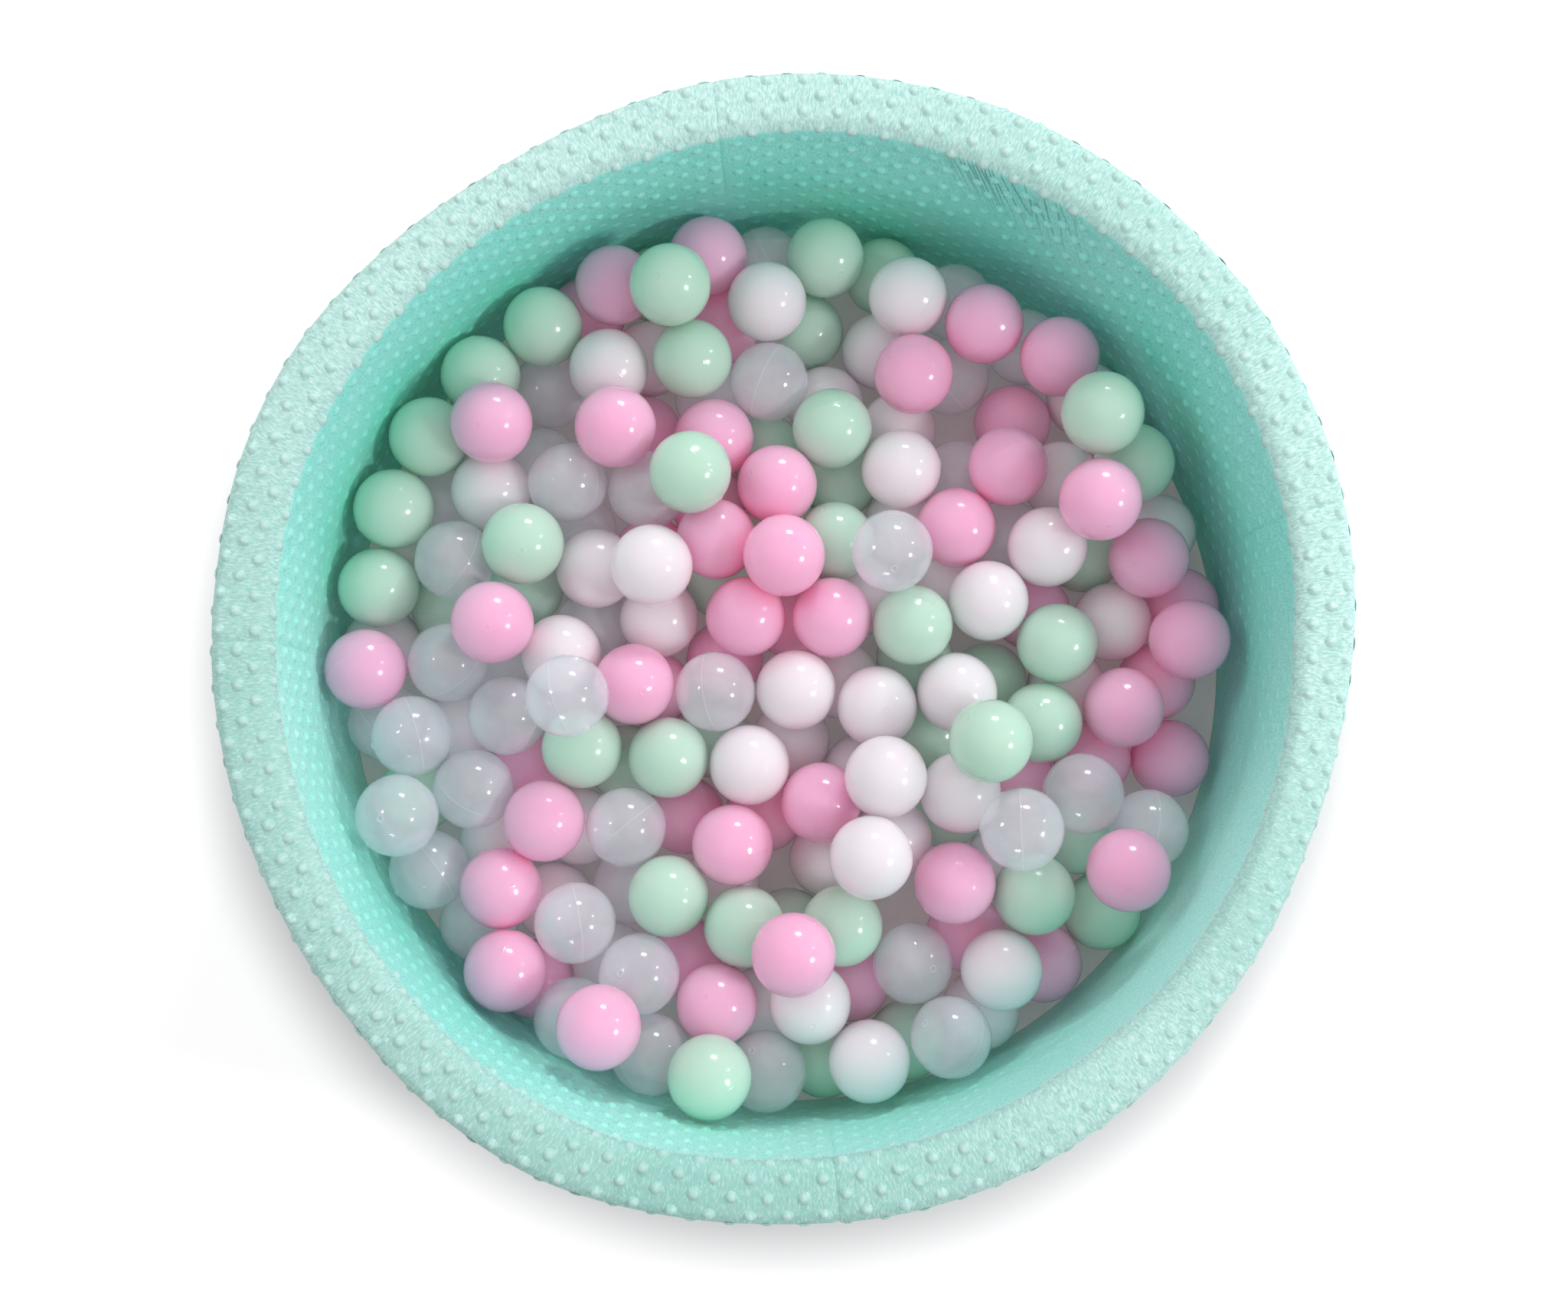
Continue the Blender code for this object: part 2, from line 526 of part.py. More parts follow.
def parted(centres, limit, floor, rounds):
    """Pushes overlapping balls apart, inside the wall and above the floor."""
    spacing = BALL_DIAMETER + CLEARANCE
    first, second = np.triu_indices(len(centres), 1)
    near = np.linalg.norm(centres[first] - centres[second], axis=1) < BALL_DIAMETER * NEAR_SHARE
    first, second = first[near], second[near]
    count = len(centres)
    for _ in range(rounds):
        between = centres[first] - centres[second]
        distance = np.linalg.norm(between, axis=1)
        overlap = np.clip(spacing - distance, 0, None)
        push = between * (overlap / distance / 2)[:, None]
        hits = np.bincount(first, overlap > 0, count) + np.bincount(second, overlap > 0, count)
        shift = [np.bincount(first, part, count) - np.bincount(second, part, count) for part in push.T]
        centres = centres + np.column_stack(shift) * (PARTING_RATE_SHARE / np.maximum(hits, 1))[:, None]
        radial = np.maximum(np.linalg.norm(centres[:, :2], axis=1), limit)
        centres[:, :2] *= (limit / radial)[:, None]
        centres[:, 2] = np.maximum(centres[:, 2], floor)
    return centres


class Pile:
    """The settled balls: loose ones first, then the upper and lower bedded ones, then the floor's.

    centres are in metres, and homes are the places in plan, as shares of the inner radius, that the
    balls are let go over.
    """

    def __init__(self):
        tables = (LOOSE_BALL_SHARES, UPPER_BALL_SHARES, LOWER_BALL_SHARES)
        drops = (LOOSE_DROP_SHARE, UPPER_DROP_SHARE, LOWER_DROP_SHARE)
        self.counts = [sum(len(places) for places in table.values()) for table in tables]
        rows = [(colour, place) for table in tables for colour in BALL_COLOURS for place in table[colour]]
        self.colours = [colour for colour, _ in rows]
        shares = np.array([place for _, place in rows])
        heights = FLOOR_TOP + BALL_DIAMETER * np.repeat(drops, self.counts)
        readings = shares * INNER_RADIUS
        limit, floor = pile_limits()
        start = np.column_stack([along_sight(readings, heights), heights])
        self.centres = with_floor_filled(start, limit, floor)
        read = len(readings)
        self.homes = np.vstack([shares, self.centres[read:, :2] / INNER_RADIUS])
        hidden = range(len(self.centres) - read)
        self.colours += [BALL_COLOURS[index % len(BALL_COLOURS)] for index in hidden]
        self.settle(readings, limit, floor)
        distances = np.linalg.norm(self.centres[:, None] - self.centres[None], axis=2)
        touching = distances < BALL_DIAMETER * TOUCH_SHARE
        np.fill_diagonal(touching, False)
        self.touched = [[int(other) for other in np.flatnonzero(row)] for row in touching]

    def settle(self, readings, limit, floor):
        """Lets all balls down, and draws those that were read back to their places."""
        centres = self.centres
        read = len(readings)
        for rounds, sinking, drawing, partings in zip(
            SETTLING_ROUND_COUNTS, SINKING_SHARES, DRAWING_SHARES, PARTING_COUNTS
        ):
            for _ in range(rounds):
                centres[:, 2] -= sinking * BALL_DIAMETER
                drawn = along_sight(readings, centres[:read, 2])
                centres[:read, :2] += drawing * (drawn - centres[:read, :2])
                centres = parted(centres, limit, floor, partings)
        for rounds in LAST_PARTING_COUNTS:
            centres = parted(centres, limit, floor, rounds)
        self.centres = centres

    def direction(self, ball, other):
        """Unit direction from one ball to another."""
        between = self.centres[other] - self.centres[ball]
        return between / np.linalg.norm(between)

    def contacts(self, ball):
        """Unit directions to all that a ball touches: other balls by number, then the wall and floor."""
        found = [(other, self.direction(ball, other)) for other in self.touched[ball]]
        limit, floor = pile_limits()
        centre = self.centres[ball]
        radius = math.hypot(centre[0], centre[1])
        if radius > limit - CLEARANCE:
            found.append((None, np.array([centre[0], centre[1], 0.0]) / radius))
        if centre[2] < floor + CLEARANCE:
            found.append((None, np.array([0.0, 0.0, -1.0])))
        return found

    def beds(self):
        """The bedded balls, each with the bed whose middle lies nearest to its home."""
        middles = []
        for ring_share, count in BED_RING_SHARES:
            angles = [2 * math.pi * place / count for place in range(count)]
            middles += [(ring_share * math.cos(angle), ring_share * math.sin(angle)) for angle in angles]
        beds = [[] for _ in middles]
        for ball in range(self.counts[0], len(self.centres)):
            distances = [math.dist(self.homes[ball], middle) for middle in middles]
            beds[distances.index(min(distances))].append(ball)
        return [bed for bed in beds if bed]

    def necks(self, bed):
        """Pairs of balls that join a bed up, each new ball on to the nearest that is joined already."""
        joined = bed[:1]
        free = bed[1:]
        necks = []
        while free:
            pairs = [(ball, other) for ball in joined for other in free]
            pair = min(pairs, key=lambda pair: math.dist(self.centres[pair[0]], self.centres[pair[1]]))
            necks.append(pair)
            joined.append(pair[1])
            free.remove(pair[1])
        return necks


def add_loose_balls(pit, pile):
    """Each ball that can be picked straight up, as a piece of its own, with a pole on what it lies on."""
    bm = bmesh.new()
    bmesh.ops.create_uvsphere(
        bm, u_segments=LOOSE_BALL_SEGMENTS, v_segments=LOOSE_BALL_RINGS, radius=BALL_RADIUS
    )
    globe = mesh_from(bm, "ball")
    loose = range(pile.counts[0])
    numbers = dict.fromkeys(BALL_COLOURS, 0)
    for ball in loose:
        colour = pile.colours[ball]
        numbers[colour] += 1
        below = [direction for other, direction in pile.contacts(ball) if other not in loose]
        support = min(below, key=lambda direction: direction[2], default=(0, 0, -1))
        turn = Vector((0, 0, -1)).rotation_difference(Vector(support))
        place = Matrix.Translation(Vector(pile.centres[ball])) @ turn.to_matrix().to_4x4()
        add_object(pit, f"ball_{colour}_{numbers[colour]:02d}", globe.copy(), [colour], place=place)


def spread_points(subdivisions):
    """Directions of the corners of an evenly divided ball."""
    bm = bmesh.new()
    bmesh.ops.create_icosphere(bm, subdivisions=subdivisions, radius=1)
    corners = [np.array(vert.co) for vert in bm.verts]
    bm.free()
    return corners


def neck_ring(along):
    """Directions of the corners of a neck's mouth, round the direction of the neck."""
    steep = abs(along[2]) > math.cos(math.pi / 4)
    across = np.cross(along, (1, 0, 0) if steep else (0, 0, 1))
    across = across / np.linalg.norm(across)
    third = np.cross(along, across)
    ring = []
    for corner in range(NECK_SIDES):
        angle = 2 * math.pi * corner / NECK_SIDES
        sideways = across * math.cos(angle) + third * math.sin(angle)
        ring.append(along * math.cos(NECK_HALF_ANGLE) + sideways * math.sin(NECK_HALF_ANGLE))
    return ring


def skin_corners(pile, ball, mouths, spread, room):
    """Directions of a bedded ball's corners: its necks' mouths, then its contacts, then the spread."""
    necked = [other for other, _, _ in mouths]
    contacts = [direction for other, direction in pile.contacts(ball) if other not in necked]
    taken = contacts + [along for _, along, _ in mouths]
    corners = [corner for _, _, ring in mouths for corner in ring] + contacts
    for corner in spread:
        if all(float(corner @ direction) < math.cos(room) for direction in taken):
            corners.append(corner)
    return corners


def skin_facets(corners):
    """Facets, as tuples of corner numbers, of the convex skin over points on a ball."""
    bm = bmesh.new()
    for corner in corners:
        bm.verts.new(corner)
    bmesh.ops.convex_hull(bm, input=bm.verts)
    bm.verts.index_update()
    facets = [tuple(vert.index for vert in face.verts) for face in bm.faces]
    bm.free()
    return facets


def neck_mouths(pile, bed, necks):
    """For each ball of a bed, its necks: the ball they lead to, their direction and their mouth's ring."""
    mouths = {ball: [] for ball in bed}
    for ball, other in necks:
        along = pile.direction(ball, other)
        ring = neck_ring(along)
        far_ring = [corner - along * 2 * math.cos(NECK_HALF_ANGLE) for corner in ring]
        mouths[ball].append((other, along, ring))
        mouths[other].append((ball, -along, far_ring))
    return mouths


def bed_mesh(name, pile, bed, spreads):
    """The balls of one bed, each a convex skin, joined by the necks into one closed body."""
    necks = pile.necks(bed)
    mouths = neck_mouths(pile, bed, necks)
    shown = pile.counts[0] + pile.counts[1]
    bm = bmesh.new()
    rims = {}
    for ball in bed:
        spread, room = spreads[ball < shown]
        corners = skin_corners(pile, ball, mouths[ball], spread, room)
        verts = [bm.verts.new(pile.centres[ball] + BALL_RADIUS * corner) for corner in corners]
        for index, (other, _, _) in enumerate(mouths[ball]):
            rims[ball, other] = verts[NECK_SIDES * index:NECK_SIDES * (index + 1)]
        open_mouths = [set(rims[ball, other]) for other, _, _ in mouths[ball]]
        for facet in skin_facets(corners):
            outline = [verts[index] for index in facet]
            if set(outline) not in open_mouths:
                bm.faces.new(outline).material_index = BALL_COLOURS.index(pile.colours[ball])
    for ball, other in necks:
        rim, far_rim = rims[ball, other], rims[other, ball]
        for index in range(NECK_SIDES):
            side = bm.faces.new([rim[index - 1], rim[index], far_rim[index], far_rim[index - 1]])
            side.material_index = BALL_COLOURS.index(pile.colours[ball])
    bmesh.ops.recalc_face_normals(bm, faces=bm.faces)
    return mesh_from(bm, name)


def add_beds(pit, pile):
    """The balls under the loose ones, joined by short necks into a few beds."""
    spreads = {
        True: (spread_points(SHOWING_SUBDIVISIONS), SHOWING_ROOM),
        False: (spread_points(HIDDEN_SUBDIVISIONS), HIDDEN_ROOM),
    }
    for number, bed in enumerate(pile.beds(), 1):
        name = f"ball_bed_{number:02d}"
        add_object(pit, name, bed_mesh(name, pile, bed, spreads), BALL_COLOURS)


def main():
    """Builds the whole pit."""
    pit = {"collection": start_scene(), "materials": make_materials()}
    add_foam(pit)
    add_cover(pit)
    add_zip_bands(pit)
    add_zip_slider(pit)
    pile = Pile()
    add_loose_balls(pit, pile)
    add_beds(pit, pile)
    print(f"{len(pile.centres)} balls, {pile.counts[0]} of them loose")


main()
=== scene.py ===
"""A round foam ball pit in a mint plush cover, filled with pastel plastic balls.

The pit stands on the floor at the origin, in metres, with +Z up, +X to the right and +Y to the back.
Each sub-assembly is a class: the plush cover, the sewn cloths, the foam, the zip, the balls and the
studio. Each finish is a frozen dataclass that builds its own material.
"""

from __future__ import annotations

import json
import logging
import math
import sys
from collections.abc import Sequence
from dataclasses import dataclass, field
from enum import Enum

import bmesh
import bpy
import numpy as np
from mathutils import Matrix, Vector

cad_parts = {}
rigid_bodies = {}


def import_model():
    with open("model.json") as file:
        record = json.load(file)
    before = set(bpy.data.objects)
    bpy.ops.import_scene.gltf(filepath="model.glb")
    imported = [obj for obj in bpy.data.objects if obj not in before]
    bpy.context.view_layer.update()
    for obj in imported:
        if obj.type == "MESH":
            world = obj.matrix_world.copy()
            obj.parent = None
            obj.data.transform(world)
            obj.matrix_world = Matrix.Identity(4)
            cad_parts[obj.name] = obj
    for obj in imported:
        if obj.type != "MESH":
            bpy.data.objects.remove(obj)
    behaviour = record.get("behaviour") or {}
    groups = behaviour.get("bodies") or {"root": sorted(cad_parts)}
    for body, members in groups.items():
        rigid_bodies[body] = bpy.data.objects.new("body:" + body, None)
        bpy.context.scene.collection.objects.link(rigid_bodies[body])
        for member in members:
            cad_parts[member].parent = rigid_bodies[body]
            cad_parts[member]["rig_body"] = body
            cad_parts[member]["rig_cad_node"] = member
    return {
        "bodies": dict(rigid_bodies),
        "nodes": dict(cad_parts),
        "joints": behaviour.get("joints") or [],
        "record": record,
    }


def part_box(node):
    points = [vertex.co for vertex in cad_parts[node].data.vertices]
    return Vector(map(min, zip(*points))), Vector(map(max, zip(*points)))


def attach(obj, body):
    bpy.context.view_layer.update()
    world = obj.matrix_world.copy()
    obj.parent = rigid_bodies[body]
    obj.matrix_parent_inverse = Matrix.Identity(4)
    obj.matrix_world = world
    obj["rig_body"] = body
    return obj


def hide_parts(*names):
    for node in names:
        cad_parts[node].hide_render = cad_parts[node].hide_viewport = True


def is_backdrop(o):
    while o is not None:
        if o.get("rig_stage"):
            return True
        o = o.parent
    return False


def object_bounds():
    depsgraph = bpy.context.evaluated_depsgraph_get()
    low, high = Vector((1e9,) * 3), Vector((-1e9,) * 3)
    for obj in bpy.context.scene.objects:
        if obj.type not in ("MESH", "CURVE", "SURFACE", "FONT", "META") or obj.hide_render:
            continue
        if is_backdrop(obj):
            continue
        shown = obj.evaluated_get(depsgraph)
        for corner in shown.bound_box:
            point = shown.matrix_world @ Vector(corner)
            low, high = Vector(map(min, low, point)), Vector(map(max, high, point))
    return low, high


MM = 0.001
FULL_TURN = 2 * math.pi

SHARP_ANGLE = math.radians(50)
OUTER_RADIUS = 450 * MM
INNER_RADIUS = 400 * MM
UNDERSIDE_DEPTH = 2 * MM
LAYER_GAP = 0.3 * MM
BASE_DEPTH = 50 * MM
FLOOR_CLOTH_DEPTH = 3 * MM
UPWARD = (0.0, 0.0, 1.0)

log = logging.getLogger("ball_pit")

Mesh, Object, Material = bpy.types.Mesh, bpy.types.Object, bpy.types.Material
Node, Socket = bpy.types.Node, bpy.types.NodeSocket
Colour = Scale = tuple[float, float, float]
Section = list[tuple[float, float]]
Inputs = dict[str | int, object]

WHITE: Colour = (1.0, 1.0, 1.0)


class BallColour(Enum):
    """The four colours of the balls, in the order in which the pile is read."""

    PINK = "pink"
    MINT = "mint"
    WHITE = "white"
    CLEAR = "clear"


Places = dict[BallColour, tuple[tuple[int, int], ...]]

# Places of the balls, read off from straight above, in thousandths of the pit's inner radius.
LOOSE_PLACES: Places = {
    BallColour.PINK: (
        (-685, 543), (-400, 518), (730, 369), (5, 232), (-660, 73), (923, 47), (-936, -21), (-536, -366),
        (780, -476), (10, -664), (-620, -700), (-407, -819),
    ),
    BallColour.MINT: (
        (-260, 853), (743, 558), (-210, 413), (-893, 345), (462, -202), (-163, -928),
    ),
    BallColour.WHITE: (
        (-35, 824), (-297, 217), (201, -448), (190, -895),
    ),
    BallColour.CLEAR: (
        (234, 247), (-492, -92), (-858, -353), (525, -381), (372, -840),
    ),
}
UPPER_PLACES: Places = {
    BallColour.PINK: (
        (-180, 922), (-400, 862), (457, 773), (632, 702), (296, 650), (-149, 516), (513, 438), (-13, 390),
        (390, 293), (830, 220), (-159, 263), (107, 85), (-92, 84), (-339, -63), (762, -122), (863, -230),
        (82, -316), (-127, -425), (375, -499), (-632, -520), (-153, -770),
    ),
    BallColour.MINT: (
        (100, 926), (-557, 763), (-208, 687), (-696, 648), (115, 520), (-812, 506), (-597, 254),
        (-924, 159), (293, 71), (612, 28), (581, -153), (-448, -211), (-264, -233), (552, -534),
        (-267, -542), (705, -557), (-95, -603), (126, -611),
    ),
    BallColour.WHITE: (
        (281, 831), (-400, 676), (268, 422), (-671, 395), (591, 256), (-438, 190), (463, 129), (-300, 85),
        (730, 79), (-498, 6), (22, -73), (384, -84), (205, -112), (-83, -248), (238, -261), (388, -313),
        (483, -688), (52, -782),
    ),
    BallColour.CLEAR: (
        (-26, 637), (-490, 393), (-756, 227), (-157, -84), (-620, -136), (-826, -170), (-695, -300),
        (690, -316), (-355, -387), (796, -390), (-777, -472), (-467, -601), (294, -682), (-322, -712),
        (-479, -806), (-296, -894), (-53, -918),
    ),
}
LOWER_PLACES: Places = {
    BallColour.PINK: (
        (-140, 767), (513, 530), (-310, 524), (889, 137), (565, 107), (20, 70), (845, -52), (680, -227),
        (515, -256), (-47, -353), (-220, -371), (402, -614), (578, -684), (160, -729),
    ),
    BallColour.MINT: (
        (232, 881), (45, 734), (-20, 499), (800, 450), (150, 400), (107, 260), (695, 226), (-590, 160),
        (-770, 110), (462, -50), (318, -165), (-370, -260), (-830, -270), (660, -400), (270, -850),
        (90, -888),
    ),
    BallColour.WHITE: (
        (217, 700), (672, 583), (103, 573), (268, 544), (630, 410), (840, 280), (190, 150), (130, -20),
        (20, -183), (180, -247), (-460, -378), (275, -388), (-655, -400), (86, -456), (-500, -550),
        (437, -787),
    ),
    BallColour.CLEAR: (
        (-43, 900), (400, 827), (560, 712), (360, 628), (-546, 544), (393, 440), (-309, 383), (-790, 350),
        (-755, -18), (-640, -30), (-900, -147), (-370, -515), (-672, -596),
    ),
}


@dataclass(frozen=True)
class Ramp:
    """A range of some value, and the range that it is mapped to."""

    low: float
    high: float
    to_low: float = 0.0
    to_high: float = 1.0


@dataclass(frozen=True)
class Grain:
    """A noise pattern: its scale, how many finer layers it has, and how far it is stirred."""

    scale: float
    detail: float = 2.0
    distortion: float = 0.0


@dataclass(frozen=True)
class Relief:
    """How high a pattern stands, in metres, and how strongly that shows."""

    height: float
    strength: float


def smoothstep(values: np.ndarray | float) -> np.ndarray | float:
    """Eases shares, which are held between 0 and 1, at both ends."""
    held = np.clip(values, 0, 1)
    return held * held * (3 - 2 * held)


class NodeGraph:
    """A node tree with short calls to add and join its nodes."""

    def __init__(self, tree: bpy.types.NodeTree) -> None:
        """Takes hold of a tree that the nodes go in."""
        self.tree = tree

    def feed(self, socket: Socket, value: object) -> None:
        """Joins an input to a node's first output or to an output, or sets it to a constant."""
        if isinstance(value, Node):
            value = value.outputs[0]
        if isinstance(value, Socket):
            self.tree.links.new(value, socket)
        else:
            socket.default_value = value

    def add(self, kind: str, inputs: Inputs | None = None, **settings: object) -> Node:
        """Adds a node.

        Args:
            kind: The node's type name.
            inputs: What feeds each input, by the input's name or number.
            settings: The node's own properties.

        Returns:
            The new node.
        """
        made = self.tree.nodes.new(kind)
        for setting, value in settings.items():
            setattr(made, setting, value)
        for name, value in (inputs or {}).items():
            self.feed(made.inputs[name], value)
        return made

    def math(self, operation: str, first: object, second: object = 0.0) -> Node:
        """Adds a Math node for one or two values."""
        return self.add("ShaderNodeMath", {0: first, 1: second}, operation=operation)

    def length(self, vector: object) -> Socket:
        """The length of a vector."""
        return self.add("ShaderNodeVectorMath", {0: vector}, operation="LENGTH").outputs["Value"]

    def scaled(self, vector: object, scale: object) -> Node:
        """A vector times a number."""
        return self.add("ShaderNodeVectorMath", {0: vector, "Scale": scale}, operation="SCALE")

    def ranged(self, value: object, ramp: Ramp, eased: bool = False) -> Node:
        """Maps a value from one range to another, held inside it.

        Args:
            value: What is mapped.
            ramp: The two ranges.
            eased: Whether it starts and ends gently.

        Returns:
            The new node.
        """
        limits = {"From Min": ramp.low, "From Max": ramp.high, "To Min": ramp.to_low, "To Max": ramp.to_high}
        kind = "SMOOTHSTEP" if eased else "LINEAR"
        return self.add("ShaderNodeMapRange", {"Value": value, **limits}, interpolation_type=kind)

    def mixed(self, share: object, first: object, second: object) -> Socket:
        """Mixes two colours.

        Args:
            share: How much of the second is taken.
            first: The first colour.
            second: The second colour.

        Returns:
            The mixed colour.
        """
        mix = self.add("ShaderNodeMix", data_type="RGBA")
        for socket, value in ((mix.inputs[0], share), (mix.inputs[6], first), (mix.inputs[7], second)):
            self.feed(socket, (*value, 1.0) if isinstance(value, tuple) else value)
        return mix.outputs[2]

    def seen_by(self, *rays: str) -> Socket:
        """1 for some kinds of ray, by their outputs on the Light Path node, and 0 for the others."""
        path = self.add("ShaderNodeLightPath")
        seen = path.outputs[rays[0]]
        for ray in rays[1:]:
            seen = self.math("MAXIMUM", seen, path.outputs[ray])
        return seen


class ShaderGraph(NodeGraph):
    """A material's graph, round one Principled shader."""

    def __init__(self, name: str) -> None:
        """Makes the material with a bare Principled shader.

        Args:
            name: The material's name.
        """
        self.material = bpy.data.materials.new(name)
        self.material.use_nodes = True
        super().__init__(self.material.node_tree)
        self.shader = self.tree.nodes["Principled BSDF"]

    def place(self) -> Socket:
        """Object coordinates, in metres."""
        return self.add("ShaderNodeTexCoord").outputs["Object"]

    def attribute(self, name: str, output: str = "Fac") -> Socket:
        """An attribute of the mesh: Fac for a number, or Vector."""
        return self.add("ShaderNodeAttribute", attribute_name=name).outputs[output]

    def stretched(self, place: object, scale: Scale, turn: float = 0.0) -> Node:
        """Coordinates in pattern units a metre along each axis, turned about Z."""
        return self.add("ShaderNodeMapping", {"Vector": place, "Scale": scale, "Rotation": (0, 0, turn)})

    def noise(self, place: object, grain: Grain) -> Node:
        """A noise pattern at some coordinates."""
        inputs = {"Scale": grain.scale, "Detail": grain.detail, "Distortion": grain.distortion}
        return self.add("ShaderNodeTexNoise", {"Vector": place, **inputs})

    def toned(self, colour: object, share: object, most: float, other: Colour) -> Socket:
        """Lets a second colour into a first, at most so much of it, where a share says."""
        return self.mixed(self.math("MULTIPLY", share, most), colour, other)

    def stained(self, colour: object, pattern: object, ramp: Ramp, other: Colour) -> Socket:
        """Lets a second colour into a first where a pattern says so."""
        return self.mixed(self.ranged(pattern, ramp), colour, other)

    def bump(self, pattern: object, relief: Relief, under: object = None) -> Node:
        """Bump from a pattern.

        Args:
            pattern: The height pattern, from 0 to 1.
            relief: How high it stands.
            under: Bump that this one lies on.

        Returns:
            The Bump node.
        """
        inputs: Inputs = {"Height": pattern, "Distance": relief.height, "Strength": relief.strength}
        if under is not None:
            inputs["Normal"] = under
        return self.add("ShaderNodeBump", inputs)

    def finish(self, **inputs: object) -> Material:
        """Feeds the Principled shader's inputs, by their names with underscores for spaces."""
        for name, value in inputs.items():
            coloured = name in ("Base_Color", "Sheen_Tint", "Emission_Color") and isinstance(value, tuple)
            self.feed(self.shader.inputs[name.replace("_", " ")], (*value, 1.0) if coloured else value)
        return self.material


